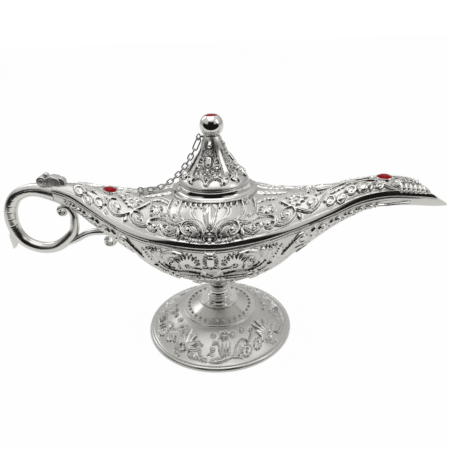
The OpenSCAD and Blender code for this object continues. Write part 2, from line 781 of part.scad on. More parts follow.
module clamp_nut() {
    color("dimgray")
    translate([0, 0, inner_z + washer_t])
        difference() {
            cylinder(r = screw_r * 1.95, h = nut_t, $fn = 6);
            translate([0, 0, -1])
                cylinder(r = screw_r + set_gap, h = nut_t + 2, $fn = 64);
        }
}

foot();
stem();
lower_shell();
upper_shell();
collar();
lid();
finial_ball();
finial_gem();
on_crest(tail_gem_x) bezel();  // tail_bezel
on_crest(tail_gem_x) stone();  // tail_gem
on_crest(spout_gem_x) bezel();  // spout_bezel
on_crest(spout_gem_x) stone();  // spout_gem
handle_loop();
handle_strut();
handle_leaf();
thumb_rest();
shell_eye();
lid_eye();
plain_link(1);  // chain_link_01
plain_link(2);  // chain_link_02
plain_link(3);  // chain_link_03
plain_link(4);  // chain_link_04
plain_link(5);  // chain_link_05
plain_link(6);  // chain_link_06
plain_link(7);  // chain_link_07
plain_link(8);  // chain_link_08
plain_link(9);  // chain_link_09
plain_link(10);  // chain_link_10
plain_link(11);  // chain_link_11
plain_link(12);  // chain_link_12
plain_link(13);  // chain_link_13
chain_long_link();
clamp_screw();
foot_washer();
nut_washer();
clamp_nut();
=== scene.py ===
"""Looks of a footed oil lamp with a bell lid: chased silver plate, red stones, studio."""

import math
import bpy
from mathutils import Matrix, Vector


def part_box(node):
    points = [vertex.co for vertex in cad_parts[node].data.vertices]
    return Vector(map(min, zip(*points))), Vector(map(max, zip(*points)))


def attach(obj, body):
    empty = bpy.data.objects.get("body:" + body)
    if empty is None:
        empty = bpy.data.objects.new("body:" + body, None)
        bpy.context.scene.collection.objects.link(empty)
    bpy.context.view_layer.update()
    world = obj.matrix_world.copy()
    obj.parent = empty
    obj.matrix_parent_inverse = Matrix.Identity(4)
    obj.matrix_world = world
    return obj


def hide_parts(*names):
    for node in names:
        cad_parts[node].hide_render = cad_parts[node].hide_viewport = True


bl_info = {
    "name": "Footed Oil Lamp",
    "version": (1, 0, 0),
    "blender": (4, 5, 0),
    "location": "3D View > Sidebar > Oil Lamp",
    "description": "Builds the chased plate, stones, handle, chain and studio of an oil lamp",
    "category": "Object",
}

import bmesh
import bpy
import numpy as np
from mathutils import Matrix, Vector

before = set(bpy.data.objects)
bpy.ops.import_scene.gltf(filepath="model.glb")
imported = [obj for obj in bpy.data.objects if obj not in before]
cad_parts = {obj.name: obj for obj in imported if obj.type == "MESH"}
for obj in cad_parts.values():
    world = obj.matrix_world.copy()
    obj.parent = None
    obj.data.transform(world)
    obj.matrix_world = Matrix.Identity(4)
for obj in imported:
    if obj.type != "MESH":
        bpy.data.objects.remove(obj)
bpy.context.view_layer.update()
MM = 0.001

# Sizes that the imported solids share, in millimetres
SPOUT_REACH = 106.2
TAIL_REACH = 75.5
HALF_WIDTH = 32.3
SEAM_Z = 62.0
SHEER = 15.0
CROWN = 18.5
KEEL = 31.0
SEAM_GAP = 0.15
SHELL_WALL = 1.8
LIP = 6.0
MOUTH_SLANT = 10.5
LID_R = 16.1
LID_SEAT_Z = 80.7
LID_H = 21.2

# Stations of the hull: place, width, rim, crown, roundness of the top, keel
HULL_LINES = np.array([
    [-1.000, 0.142, 1.040, 0.145, 2.0, 0.235], [-0.887, 0.195, 0.887, 0.233, 1.9, 0.280],
    [-0.742, 0.372, 0.600, 0.368, 1.6, 0.395], [-0.530, 0.656, 0.247, 0.485, 1.5, 0.535],
    [-0.331, 0.861, 0.087, 0.675, 1.6, 0.820], [0.000, 1.000, 0.000, 1.000, 2.1, 1.000],
    [0.188, 0.854, 0.060, 0.735, 1.8, 0.890], [0.320, 0.647, 0.173, 0.600, 1.5, 0.687],
    [0.489, 0.402, 0.427, 0.453, 1.7, 0.350], [0.611, 0.266, 0.713, 0.374, 2.0, 0.256],
    [0.724, 0.226, 0.853, 0.345, 2.0, 0.220], [0.846, 0.204, 0.820, 0.290, 2.0, 0.192],
    [0.940, 0.127, 0.680, 0.185, 2.0, 0.150], [1.000, 0.022, 0.440, 0.040, 2.0, 0.036]])

# The lid's outline: shares of its height and of its radius
LID_LINE = np.array([
    [0.00, 0.985], [0.05, 1.000], [0.12, 0.945], [0.20, 0.840], [0.33, 0.685],
    [0.46, 0.560], [0.60, 0.435], [0.72, 0.352], [0.86, 0.295]])

# The handle's bar: out and down in shares of its reach and drop, then half
# thickness and half width in shares of the bar
HANDLE_LINE = (
    (0.17, 0.025, 1.24, 1.25), (0.36, 0, 1.06, 1.10), (0.57, 0.015, 0.96, 1), (0.79, 0.1, 0.96, 0.95),
    (0.94, 0.265, 1.03, 0.95), (1, 0.47, 1.06, 0.95), (0.97, 0.69, 1, 0.95), (0.83, 0.89, 0.95, 0.92),
    (0.57, 1, 0.93, 0.90), (0.28, 1, 0.90, 0.88), (0.05, 0.91, 0.88, 0.84),
    (-0.18, 0.725, 0.78, 0.76), (-0.24, 0.53, 0.66, 0.70))
# Its inner curl: turn, radius, half thickness, half width
INNER_CURL = (
    (-18, 5.1, 0.56, 0.64), (28, 3.55, 0.48, 0.60), (80, 2.25, 0.40, 0.58), (150, 2.05, 0.36, 0.56),
    (225, 1.85, 0.34, 0.54), (300, 1.5, 0.34, 0.54), (380, 0.8, 0.32, 0.52))
# The strut's curl: turn, radius, half thickness
STRUT_CURL = (
    (118, 5.4, 0.54), (70, 4.2, 0.48), (15, 3, 0.40), (-50, 2.5, 0.36), (-125, 2.25, 0.34),
    (-210, 1.75, 0.32), (-290, 1, 0.30))
# The pointed leaf: out and up from the handle's corner, half thickness, half width
LEAF_LINE = (
    (1.6, 1.5, 1.0, 1.2), (-0.9, 0.2, 1.6, 1.5), (-2.1, -3.2, 2.0, 1.45), (-2.2, -6.2, 1.9, 1.3),
    (-2.8, -8.6, 1.2, 0.95), (-3.9, -10.4, 0.18, 0.25))
# The handle's bar, its reach and drop, its top, and what the two curls wind about
BAR = 3.1
HANDLE_REACH = 25.5
HANDLE_DROP = 30.8
LOOP_TOP = 77.1
INNER_CURL_AT = (-74.2, LOOP_TOP - 11.09)
STRUT_CURL_AT = (-53.45, 50.1)
STRUT_HALF_WIDTH = 1.92
STRUT_CURL_HALF_WIDTH = 1.86
# Depth of the bars and of the line cut in the handle
BAR_CUT = 0.09
LINE_CUT = 0.13

# Half width of the plain strip under the chain, and its ends on the shell
CHAIN_STRIP = 2.0
CHAIN_ENDS = (-38.0, -15.0)

# Outlines of the stones: radius and height, and how deep the larger ones sit
GEM_ROWS = ((0, 0), (3.15, 0), (3.15, 0.8), (2.304, 1.5), (1.408, 1.8), (0, 1.8))
TOP_GEM_ROWS = ((0, 0), (2.62, 0), (2.62, 0.75), (1.9, 1.2), (0, 1.3))
GEM_SINK = 0.4

# Shells: where their hollow ends before the tail and below the spout, the hole under
# the lid, faces across the inside, the lower half's cell, the step that finds a normal
CAVE_INSET = 19.5
LOWER_CAVE_INSET = 9
MOUTH_HOLE_R = 17
INSIDE_STEPS = 20
LOWER_CELL = 1.1
NORMAL_STEP = 0.05
# Relief attribute of plain faces, which a chased finish shows as raised, without its painted shade
PLAIN = 0.5

# Foot's ring of beads: how many, ring radius, height, bead radius
FOOT_BEADS = (32, 15.8, 13.15, 0.8)

# Ornament: fields round lid and foot with their turns, widening of each stroke,
# width and depth of the sunk outline beside it
FIELDS = 4
LID_TURN = math.radians(-9)
FOOT_TURN = math.radians(3)
FOOT_RELIEF = 0.9
STROKE_GROWTH = 1.06
STROKE_EXTRA = 0.02
MOAT = 0.32
MOAT_DEPTH = 0.5

# Room: tones by height, and the dark fields by height and by direction, each
# edge given as where it starts and where it is full
ROOM_TONES = ((0.0, 0.62), (0.3, 0.72), (0.55, 1.0), (0.8, 1.12), (1.0, 1.35))
DARK_FIELDS = (((0.50, 0.34), (1.5, 1.15), (-1.7, -1.3)), ((0.86, 0.70), (0.75, 0.45), (-0.75, -0.45)))
# Near black of the room's dark fields and of the floor's painted dark front, then where that front starts
# and where it is full, along y in metres
NIGHT = (0.012, 0.01, 0.01, 1)
FLOOR_FRONT = (-0.125, -0.15)

# Soft lamps in metres: name, place, size and the level that each takes
LAMP_AIM = (0, 0, 0.06)
LAMPS = (("overhead", (-0.05, 0.0, 0.8), (0.9, 0.6), "overhead"),
         ("left", (-0.5, 0.35, 0.5), (0.2, 0.4), "sides"),
         ("right", (0.6, -0.15, 0.5), (0.2, 0.4), "sides"))
FLOOR_HALF = 3.0

# Camera fitted to the photograph: place in millimetres, direction, side before the roll
CAMERA_AT = (17.814, -192.029, 148.748)
CAMERA_FORWARD = (-0.06410, 0.90288, -0.42510)
CAMERA_RIGHT = (0.99749, 0.07082, 0)
CAMERA_ROLL = 0.0349148
CAMERA_LENS = 35.36
CAMERA_SENSOR = 36
CAMERA_NEAR = 0.01


class LampSizes(bpy.types.PropertyGroup):
    """Sizes of the relief and of the finish."""

    relief: bpy.props.FloatProperty(
        name="Relief", description="Height of the chased ornament over its ground",
        default=0.0009, min=0.0003, max=0.0012, unit="LENGTH", precision=5)
    rim_band: bpy.props.FloatProperty(
        name="Rim band", description="Width of the polished band along the upper seam",
        default=0.003, min=0.001, max=0.005, unit="LENGTH", precision=5)
    cell: bpy.props.FloatProperty(
        name="Cell", description="Size of a face of the chased shells",
        default=0.00024, min=0.00015, max=0.002, unit="LENGTH", precision=5)


class LampColours(bpy.types.PropertyGroup):
    """Colours of the finishes."""

    silver: bpy.props.FloatVectorProperty(
        name="Silver plate", description="Colour of the bright plate",
        default=(0.80, 0.79, 0.765), size=3, min=0, max=1, subtype="COLOR")
    ruby: bpy.props.FloatVectorProperty(
        name="Stones", description="Colour of the three red stones",
        default=(0.36, 0.0, 0.006), size=3, min=0, max=1, subtype="COLOR")
    steel: bpy.props.FloatVectorProperty(
        name="Hardware", description="Colour of the hidden screw, nut and washers",
        default=(0.42, 0.42, 0.43), size=3, min=0, max=1, subtype="COLOR")


class StudioLevels(bpy.types.PropertyGroup):
    """Levels of the studio's lights."""

    overhead: bpy.props.FloatProperty(
        name="Overhead", description="Power of the lamp over the object",
        default=1.2, min=0, subtype="POWER")
    sides: bpy.props.FloatProperty(
        name="Sides", description="Power of each lamp at the sides",
        default=0.35, min=0, subtype="POWER")
    ambient: bpy.props.FloatProperty(
        name="Room", description="Brightness of the pale room", default=0.62, min=0, max=1)


# Curves and surfaces of the real shape, all in millimetres


def smooth_line(table, at, column):
    """Smooth curve through one column of a table of stations."""
    place, value = table[:, 0], table[:, column]
    last = len(place) - 1
    rise = np.array([
        (value[min(last, i + 1)] - value[max(0, i - 1)])
        / (place[min(last, i + 1)] - place[max(0, i - 1)]) for i in range(last + 1)])
    i = np.clip(np.searchsorted(place, at, side="right") - 1, 0, last - 1)
    gap = place[i + 1] - place[i]
    s = (at - place[i]) / gap
    return (value[i] * (1 + 2 * s) * (1 - s) ** 2 + value[i + 1] * s * s * (3 - 2 * s)
            + gap * rise[i] * s * (1 - s) ** 2 - gap * rise[i + 1] * s * s * (1 - s))


def hull_lines(x):
    """Half width, rim height, crown, roundness and keel of the hull at x."""
    x = np.asarray(x, float)
    at = np.where(x < 0, x / TAIL_REACH, x / SPOUT_REACH)
    width, rim, crown, round_, keel = (smooth_line(HULL_LINES, at, c) for c in range(1, 6))
    return HALF_WIDTH * width, SEAM_Z + SHEER * rim, CROWN * crown, round_, KEEL * keel


class HalfHull:
    """One half of the hull, measured by x and by the distance from the seam."""

    def __init__(self, upper, start, end, stations=300, steps=121):
        self.upper = upper
        self.x = np.linspace(start, end, stations)
        width, rim, crown, round_, keel = hull_lines(self.x)
        angle = np.linspace(0, math.pi / 2, steps)[None, :]
        height = crown if upper else keel
        power = 2 / (round_ if upper else np.full_like(round_, 2.0))
        self.side = width[:, None] * np.cos(angle) ** power[:, None]
        self.side[:, -1] = 0
        self.rise = height[:, None] * np.sin(angle) ** power[:, None]
        self.rim = rim + (SEAM_GAP if upper else 0)
        step = np.hypot(np.diff(self.side, axis=1), np.diff(self.rise, axis=1))
        self.run = np.concatenate([np.zeros((stations, 1)), np.cumsum(step, axis=1)], axis=1)

    def girth(self, x):
        """Distance from the seam to the middle line."""
        return np.interp(x, self.x, self.run[:, -1])

    def at(self, x, run):
        """Points on the near side, and their share of the quarter turn."""
        g = (x - self.x[0]) / (self.x[1] - self.x[0])
        i = np.clip(g.astype(int), 0, len(self.x) - 2)
        f = g - i
        rows = self.run[i] * (1 - f)[:, None] + self.run[i + 1] * f[:, None]
        k = np.clip((rows <= run[:, None]).sum(1) - 1, 0, rows.shape[1] - 2)
        pick = np.arange(len(x))
        s = (run - rows[pick, k]) / np.maximum(rows[pick, k + 1] - rows[pick, k], 1e-9)

        def mix(table):
            low = table[i, k] * (1 - f) + table[i + 1, k] * f
            high = table[i, k + 1] * (1 - f) + table[i + 1, k + 1] * f
            return low + (high - low) * s

        rim = self.rim[i] * (1 - f) + self.rim[i + 1] * f
        rise = mix(self.rise)
        z = rim + (rise if self.upper else -rise)
        return np.stack([x, -mix(self.side), z], 1), (k + s) / (rows.shape[1] - 1)


# The chased shells are made in stretches, each a closed piece
UPPER_CUTS = (-TAIL_REACH, -42, -14, 14, 42, SPOUT_REACH - LIP)
LOWER_CUTS = (-TAIL_REACH, -42, -14, 14, 42, SPOUT_REACH)

UPPER = HalfHull(True, -TAIL_REACH, SPOUT_REACH - LIP)
LOWER = HalfHull(False, -TAIL_REACH, SPOUT_REACH)


def spline(a, b, c, d, s):
    """Smooth step from b to c, with a and d as their neighbours."""
    return 0.5 * (2 * b + (c - a) * s + (2 * a - 5 * b + 4 * c - d) * s ** 2
                  + (3 * b - a - 3 * c + d) * s ** 3)


def smooth_path(points, spacing=0.45):
    """Rounded path through control points, as rows of the same columns."""
    points = np.asarray(points, float)
    if len(points) < 3:
        count = max(2, int(np.hypot(*(points[-1] - points[0])[:2]) / spacing) + 1)
        s = np.linspace(0, 1, count)[:, None]
        return points[0] * (1 - s) + points[-1] * s
    ends = np.vstack([2 * points[0] - points[1], points, 2 * points[-1] - points[-2]])
    rows = []
    for a, b, c, d in zip(ends, ends[1:], ends[2:], ends[3:]):
        count = max(1, int(np.hypot(*(c - b)[:2]) / spacing) + 1)
        rows += [spline(a, b, c, d, s) for s in np.arange(count) / count]
    return np.array(rows + [points[-1]])


# Relief: marks are strokes in flat millimetres (along, up), with a half width
# at each point, a height and a profile. A surface is raised by its marks.


# Profiles: height over q, the distance from the middle in half widths


def dome(q):
    return np.sqrt(np.clip(1 - q * q, 0, 1))


def ridge(q):
    return np.clip(1 - q, 0, 1) ** 0.8


def twin(q):
    """Two ridges with a valley between them."""
    return np.clip(1 - ((q - 0.62) / 0.38) ** 2, 0, 1) * 0.9


def cabochon(q):
    """A smooth oval in a moat."""
    return np.where(q < 0.8, 0.35 + 0.9 * np.sqrt(np.clip(1 - (q / 0.8) ** 2, 0, 1)), 0.0)


PROFILES = {"dome": dome, "ridge": ridge, "twin": twin, "cabochon": cabochon}


def stroke(points, width, height=1.0, profile="dome", tip=None):
    """A stroke of half width `width`, narrowing to `tip` at its far end."""
    path = smooth_path(points)
    share = np.linspace(0, 1, len(path))
    half = width + ((width if tip is None else tip) - width) * share
    return path[:, :2], half, height, profile


def lens(points, width, height=1.0, profile="dome", blunt=0.6):
    """A stroke that is wide in the middle and narrow at both ends."""
    path = smooth_path(points)
    share = np.linspace(0, 1, len(path))
    half = width * (0.12 + 0.88 * np.sin(math.pi * share ** blunt) ** 0.8)
    return path[:, :2], half, height, profile


def bead(x, y, radius, height=1.0):
    """A domed round."""
    return np.array([[x, y], [x, y + 0.01]]), np.array([radius, radius]), height, "dome"


def bead_row(points, radius, pitch, height=1.0):
    """Beads at an even pitch along a path."""
    path = smooth_path(points, 0.15)
    run = np.concatenate([[0], np.cumsum(np.hypot(*np.diff(path[:, :2], axis=0).T))])
    count = max(2, int(round(run[-1] / pitch)) + 1)
    return [bead(np.interp(s, run, path[:, 0]), np.interp(s, run, path[:, 1]), radius, height)
            for s in np.linspace(0, run[-1], count)]


def petal(x, y, angle, length, width, height=0.9):
    """A drop that points away from its root at x, y."""
    a = math.radians(angle)
    far = (x + length * math.cos(a), y + length * math.sin(a))
    path = smooth_path([(x, y), far], 0.3)
    share = np.linspace(0, 1, len(path))
    half = width * (0.35 + 0.65 * np.sin(math.pi * (0.12 + 0.80 * share)) ** 0.9)
    return path[:, :2], half, height, "dome"


def daisy(x, y, radius, petals=10, turn=0):
    """Petals round a bead."""
    marks = [petal(x + 0.42 * radius * math.cos(math.radians(a)), y + 0.42 * radius
                   * math.sin(math.radians(a)), a, radius * 0.5, radius * 0.19)
             for a in (turn + 360 * k / petals for k in range(petals))]
    return marks + [bead(x, y, radius * 0.24, 1.0)]


def fan(x, y, turn, spread, petals, length, width, inner=0.25):
    """A palmette: petals fanned about a direction, longest in the middle."""
    marks = []
    for k in range(petals):
        s = 2 * k / (petals - 1) - 1 if petals > 1 else 0
        a = math.radians(turn + spread * s / 2)
        reach = length * (1 - 0.22 * s * s)
        marks.append(petal(x + inner * length * math.cos(a), y + inner * length * math.sin(a),
                           math.degrees(a), reach * (1 - inner), width))
    return marks


def scroll(tail, centre, turns, width, hand, height=1.0, eye=0.55):
    """A tail that winds into a volute about its centre, with a bead in its eye."""
    tail = [tuple(p) for p in tail]
    dx, dy = tail[-1][0] - centre[0], tail[-1][1] - centre[1]
    start, radius = math.atan2(dy, dx), math.hypot(dx, dy)
    count = int(turns * 9)
    spiral = []
    for k in range(1, count + 1):
        s = k / count
        r = radius * (1 - 0.78 * s ** 0.85)
        a = start + hand * 2 * math.pi * turns * s
        spiral.append((centre[0] + r * math.cos(a), centre[1] + r * math.sin(a)))
    return [stroke(tail + spiral, width, height, tip=width * 0.62), bead(*centre, eye, 1.05 * height)]


def leaf(points, width, height=0.9, veins=4):
    """A pointed leaf with a sunk middle line and raised edge lobes."""
    body = lens(points, width, height * 0.55, "dome")
    path, half = body[0], body[1]
    marks = [body, (path, half * 0.22, height, "ridge")]
    step = np.gradient(path, axis=0)
    step /= np.maximum(np.hypot(step[:, 0], step[:, 1]), 1e-9)[:, None]
    for k in range(1, veins + 1):
        i = int(len(path) * k / (veins + 1.2))
        for hand in (-1, 1):
            normal = np.array([-step[i, 1], step[i, 0]]) * hand
            root = path[i] + normal * half[i] * 0.25
            end = path[i] + (normal * 0.95 + step[i] * 0.9) * half[i]
            marks.append(stroke([root, end], half[i] * 0.26, height * 0.85, tip=half[i] * 0.2))
    return marks


def each(kind, *rows):
    """Marks of one kind, each from its own row of values."""
    return [kind(*row) for row in rows]


def mirrored(marks):
    """The marks and their mirror image to the other side of x = 0."""
    return marks + [(path * np.array([-1, 1]), half, height, profile)
                    for path, half, height, profile in marks]


def moved(marks, x, y, turn):
    """Marks drawn about 0, 0, put in their place."""
    a = math.radians(turn)
    spin = np.array([[math.cos(a), math.sin(a)], [-math.sin(a), math.cos(a)]])
    return [(path @ spin + np.array([x, y]), half, height, profile)
            for path, half, height, profile in marks]


def relief_of(points, marks):
    """Height share of each point under the marks, the highest mark winning."""
    total = np.zeros(len(points))
    outline = np.full(len(points), 9.0)
    order = np.argsort(points[:, 0])
    sorted_x = points[order, 0]
    for path, half, height, profile in marks:
        half = half * STROKE_GROWTH + STROKE_EXTRA
        reach = half.max()
        room = reach + MOAT
        a, b = np.searchsorted(sorted_x, [path[:, 0].min() - room, path[:, 0].max() + room])
        near = order[a:b]
        y = points[near, 1]
        near = near[(y > path[:, 1].min() - room) & (y < path[:, 1].max() + room)]
        if not len(near):
            continue
        p = points[near]
        q = np.full(len(near), 9.0)
        for i in range(0, len(path) - 1, 4):
            part, wide = path[i:i + 5], half[i:i + 5]
            low, high = part.min(0) - room, part.max(0) + room
            here = np.where(((p > low) & (p < high)).all(1))[0]
            if len(here):
                q[here] = np.minimum(q[here], spread(p[here], part, wide))
        outline[near] = np.minimum(outline[near], (q - 1) * reach)
        lift = height * PROFILES[profile](q)
        inside = q < 1
        total[near[inside]] = np.maximum(total[near[inside]], lift[inside])
    total[(total <= 0) & (outline < MOAT)] -= MOAT_DEPTH
    return total


def spread(points, path, half):
    """Least distance of each point from a path, in half widths of the stroke."""
    way = np.diff(path, axis=0)
    length = np.maximum((way ** 2).sum(1), 1e-12)
    gap = points[:, None, :] - path[:-1]
    s = np.clip((gap * way).sum(2) / length, 0, 1)
    off = gap - s[:, :, None] * way
    width = half[:-1] + s * np.diff(half)
    return (np.sqrt((off ** 2).sum(2)) / np.maximum(width, 1e-6)).min(1)


# Meshes


def finish_mesh(name, bm, finish, node, sharp=60, body="lamp"):
    """Turns a bmesh in millimetres into the piece that stands for a CAD node, and hides that node."""
    if len(bm.faces) == 0:
        raise RuntimeError(f"{name} has no faces")
    bmesh.ops.recalc_face_normals(bm, faces=bm.faces)
    bmesh.ops.scale(bm, vec=(MM, MM, MM), verts=bm.verts)
    for face in bm.faces:
        face.smooth = True
    mesh = bpy.data.meshes.new(name)
    bm.to_mesh(mesh)
    bm.free()
    mesh.set_sharp_from_angle(angle=math.radians(sharp))
    mesh.materials.append(finishes()[finish])
    piece = bpy.data.objects.new(name, mesh)
    bpy.context.scene.collection.objects.link(piece)
    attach(piece, body)
    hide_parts(node)


def grid_points(across, along, place):
    """A grid whose corners are moved to place(u, v), both running from 0 to 1."""
    bm = bmesh.new()
    bmesh.ops.create_grid(bm, x_segments=across, y_segments=along, size=0.5)
    bm.verts.ensure_lookup_table()
    uv = np.array([v.co[:2] for v in bm.verts]) + 0.5
    points, mark = place(uv[:, 0], uv[:, 1])
    layer = bm.verts.layers.float.new("relief")
    for vert, point, value in zip(bm.verts, points, mark):
        vert.co = point
        vert[layer] = value
    return bm


def softened(field):
    """Evens out a grid of heights by one cell each way."""
    wide = np.pad(field, 1, mode="edge")
    across = (wide[:-2] + 2 * wide[1:-1] + wide[2:]) / 4
    return (across[:, :-2] + 2 * across[:, 1:-1] + across[:, 2:]) / 4


def clear_of_chain(x, y, start, end):
    """0 on the strip that the chain lies over, rising to 1 beside and beyond it."""
    aside = np.clip(np.abs(y) - CHAIN_STRIP, 0, 1)
    beyond = np.clip(np.maximum(start - x, x - end), 0, 1)
    return np.maximum(aside, beyond)


def slanted(hull, x, angle):
    """x drawn back over the slanted mouth of the spout, which only the upper half has."""
    if not hull.upper:
        return x
    middle = 0.5 * SPOUT_REACH
    past = np.clip((x - middle) / (hull.x[-1] - middle), 0, 1)
    return x - MOUTH_SLANT * np.sin(angle) ** 1.4 * past ** 1.5


def chased_side(hull, marks, height, edge, x, share, grid):
    """Near side of a shell with its relief, at shares of the way from the seam to the middle line."""
    _, turn = hull.at(x, share * hull.girth(x))
    x = slanted(hull, x, turn * math.pi / 2)
    girth = hull.girth(x)
    run = share * girth
    spot, _ = hull.at(x, run)
    lift = softened(relief_of(np.stack([x, run], 1), marks).reshape(grid)).ravel() + edge(x, run, girth)
    if hull.upper:
        lift = lift * clear_of_chain(x, spot[:, 1], *CHAIN_ENDS)
    ahead, _ = hull.at(x + NORMAL_STEP, np.minimum(run, hull.girth(x + NORMAL_STEP)))
    above, _ = hull.at(x, run + NORMAL_STEP)
    normal = np.cross(ahead - spot, above - spot) * (1 if hull.upper else -1)
    normal[share == 1, 1] = 0
    normal /= np.maximum(np.linalg.norm(normal, axis=1), 1e-12)[:, None]
    return spot + normal * (lift * height)[:, None], lift


def plain_side(hull, x, share, cave):
    """Inside of a shell, at shares of the way from rim to rim."""
    angle = math.pi * (1 - share)
    width, rim, crown, round_, keel = hull_lines(x)
    hollow = (x > cave[0]) & (x < cave[1])
    w = width - np.where(hollow, SHELL_WALL, np.clip(width * 0.3, 0.01, SHELL_WALL))
    h = np.maximum(np.where(hollow, (crown if hull.upper else keel) - SHELL_WALL, 0), 0)
    power = 2 / (round_ if hull.upper else 2.0)
    y = w * np.sign(np.cos(angle)) * np.abs(np.cos(angle)) ** power
    z = h * np.abs(np.sin(angle)) ** power
    z = rim + (SEAM_GAP + z if hull.upper else -z)
    return np.stack([slanted(hull, x, angle), y, z], 1)


def hull_shell(hull, marks, height, edge, stretch, cell, cave):
    """A stretch of half the hull: chased outside, plain inside, closed at both ends."""
    start, end = stretch
    stations = int((end - start) / cell)
    around = int(hull.girth(np.linspace(start, end, 9)).max() / cell)
    total = 2 * around + INSIDE_STEPS + 2

    def place(u, v):
        x = start + (end - start) * u
        step = np.rint(v * total).astype(int) % total
        points, mark = np.zeros((len(x), 3)), np.full(len(x), PLAIN)
        out = np.where(step <= 2 * around)[0]
        level = np.abs(step[out] - around)
        column = np.rint(u[out] * stations).astype(int)
        _, first, back = np.unique(column * (around + 1) + level, return_index=True, return_inverse=True)
        spot, lift = chased_side(hull, marks, height, edge, x[out][first], 1 - level[first] / around,
                                 (stations + 1, around + 1))
        points[out], mark[out] = spot[back.ravel()], lift[back.ravel()]
        points[out[step[out] > around], 1] *= -1
        inside = np.where(step > 2 * around)[0]
        share = (step[inside] - 2 * around - 1) / INSIDE_STEPS
        points[inside] = plain_side(hull, x[inside], share, cave)
        return points, mark

    bm = grid_points(stations, total, place)
    bmesh.ops.remove_doubles(bm, verts=bm.verts, dist=1e-5)
    open_edges = [e for e in bm.edges if e.is_boundary]
    for at_start in (True, False):
        loop = [e for e in open_edges if (e.verts[0].co.x < (start + end) / 2) == at_start]
        bmesh.ops.triangle_fill(bm, edges=loop, use_beauty=True)
    return bm


def turned(profile, steps, closed=True):
    """A profile of (radius, height) rows turned about the upright axis."""
    bm = bmesh.new()
    verts = [bm.verts.new((r, 0, z)) for r, z in profile]
    edges = [bm.edges.new(pair) for pair in zip(verts, verts[1:])]
    if closed:
        edges.append(bm.edges.new((verts[-1], verts[0])))
    bmesh.ops.spin(bm, geom=verts + edges, cent=(0, 0, 0), axis=(0, 0, 1),
                   angle=math.tau, steps=steps, use_merge=True)
    bmesh.ops.remove_doubles(bm, verts=bm.verts, dist=1e-4)
    return bm


def lathe(outer, inner, around, marks, middle, height, chained=False):
    """A closed profile of (radius, height) rows turned upright, its outer rows chased in fields."""
    rows = np.array([*outer, *inner], float)
    outer = rows[:len(outer)]
    way = np.gradient(outer, axis=0)
    way /= np.maximum(np.hypot(way[:, 0], way[:, 1]), 1e-9)[:, None]
    run = np.concatenate([[0], np.cumsum(np.hypot(*np.diff(outer, axis=0).T))])
    half = math.pi / FIELDS

    def place(u, v):
        k = np.rint(v * len(rows)).astype(int) % len(rows)
        angle = math.tau * (np.rint(u * around) % around) / around
        radius, z = rows[k, 0].copy(), rows[k, 1].copy()
        lift = np.full(len(u), PLAIN)
        on = np.where(k < len(outer))[0]
        turn = (angle[on] - middle + half) % (2 * half) - half
        field = np.zeros((around + 1, len(outer)))
        column = np.rint(u[on] * around).astype(int)
        field[column, k[on]] = relief_of(np.stack([turn * radius[on], run[k[on]]], 1), marks)
        lift[on] = softened(field)[column, k[on]]
        if chained:
            lift[on] *= clear_of_chain(radius[on] * np.sin(angle[on]), radius[on] * np.cos(angle[on]),
                                       -2 * LID_R, 0)
        radius[on] += way[k[on], 1] * lift[on] * height
        z[on] -= way[k[on], 0] * lift[on] * height
        return np.stack([radius * np.sin(angle), -radius * np.cos(angle), z], 1), lift

    bm = grid_points(around, len(rows), place)
    bmesh.ops.remove_doubles(bm, verts=bm.verts, dist=1e-5)
    return bm


def lid_radius(share):
    return LID_R * smooth_line(LID_LINE, np.asarray(share, float), 1)


def rounded(corners, steps=5):
    """A profile whose corners (r, z, radius) are eased by small arcs."""
    out = []
    n = len(corners)
    for i, (x, y, r) in enumerate(corners):
        here = np.array([x, y])
        if r <= 0:
            out.append((x, y))
            continue
        a = np.array(corners[i - 1][:2]) - here
        b = np.array(corners[(i + 1) % n][:2]) - here
        la, lb = np.hypot(*a), np.hypot(*b)
        cut = min(r, la * 0.49, lb * 0.49)
        p, q = here + a / la * cut, here + b / lb * cut
        for s in np.linspace(0, 1, steps):
            out.append(tuple((1 - s) ** 2 * p + 2 * s * (1 - s) * here + s * s * q))
    return out


def tube(path, sides, steps, lift=None):
    """A bar swept in the lamp's middle plane. Rows: x, z, half thickness, half width."""
    path = np.asarray(path, float)
    ends = np.vstack([path[:1], path, path[-1:]])
    n = len(path) - 1

    def at(s):
        k = np.minimum(n - 1, np.floor(s * n).astype(int))
        f = (s * n - k)[:, None]
        return spline(ends[k], ends[k + 1], ends[k + 2], ends[np.minimum(k + 3, n + 2)], f)

    def place(u, v):
        here = at(u)
        way = at(np.minimum(1, u + 0.002)) - at(np.maximum(0, u - 0.002))
        long = np.hypot(way[:, 0], way[:, 1])
        nx, nz = -way[:, 1] / long, way[:, 0] / long
        angle = math.tau * (np.rint(v * sides) % sides) / sides
        rise = lift(u, angle) if lift else np.zeros(len(u))
        grow_t = here[:, 2] + rise
        grow_w = here[:, 3] + rise
        points = np.stack([here[:, 0] + nx * grow_t * np.cos(angle), grow_w * np.sin(angle),
                           here[:, 1] + nz * grow_t * np.cos(angle)], 1)
        return points, rise

    bm = grid_points(steps, sides, place)
    bmesh.ops.remove_doubles(bm, verts=bm.verts, dist=1e-5)
    bmesh.ops.holes_fill(bm, edges=[e for e in bm.edges if e.is_boundary], sides=0)
    return bm


# Materials


def only(tree, kind):
    """The node of a kind that a new tree already has."""
    return next(n for n in tree.nodes if n.type == kind)


def feed(tree, node, values):
    """Sets a node's inputs by name or place, and links the ones given as sockets."""
    for key, value in values.items():
        if isinstance(value, bpy.types.NodeSocket):
            tree.links.new(value, node.inputs[key])
        else:
            node.inputs[key].default_value = value


def add(tree, kind, values=None, **settings):
    """A new node with its settings and inputs."""
    node = tree.nodes.new("ShaderNode" + kind)
    for name, value in settings.items():
        setattr(node, name, value)
    feed(tree, node, values or {})
    return node


def maths(tree, operation, *values):
    return add(tree, "Math", dict(enumerate(values)), operation=operation).outputs[0]


def product(tree, value, *others):
    for other in others:
        value = maths(tree, "MULTIPLY", value, other)
    return value


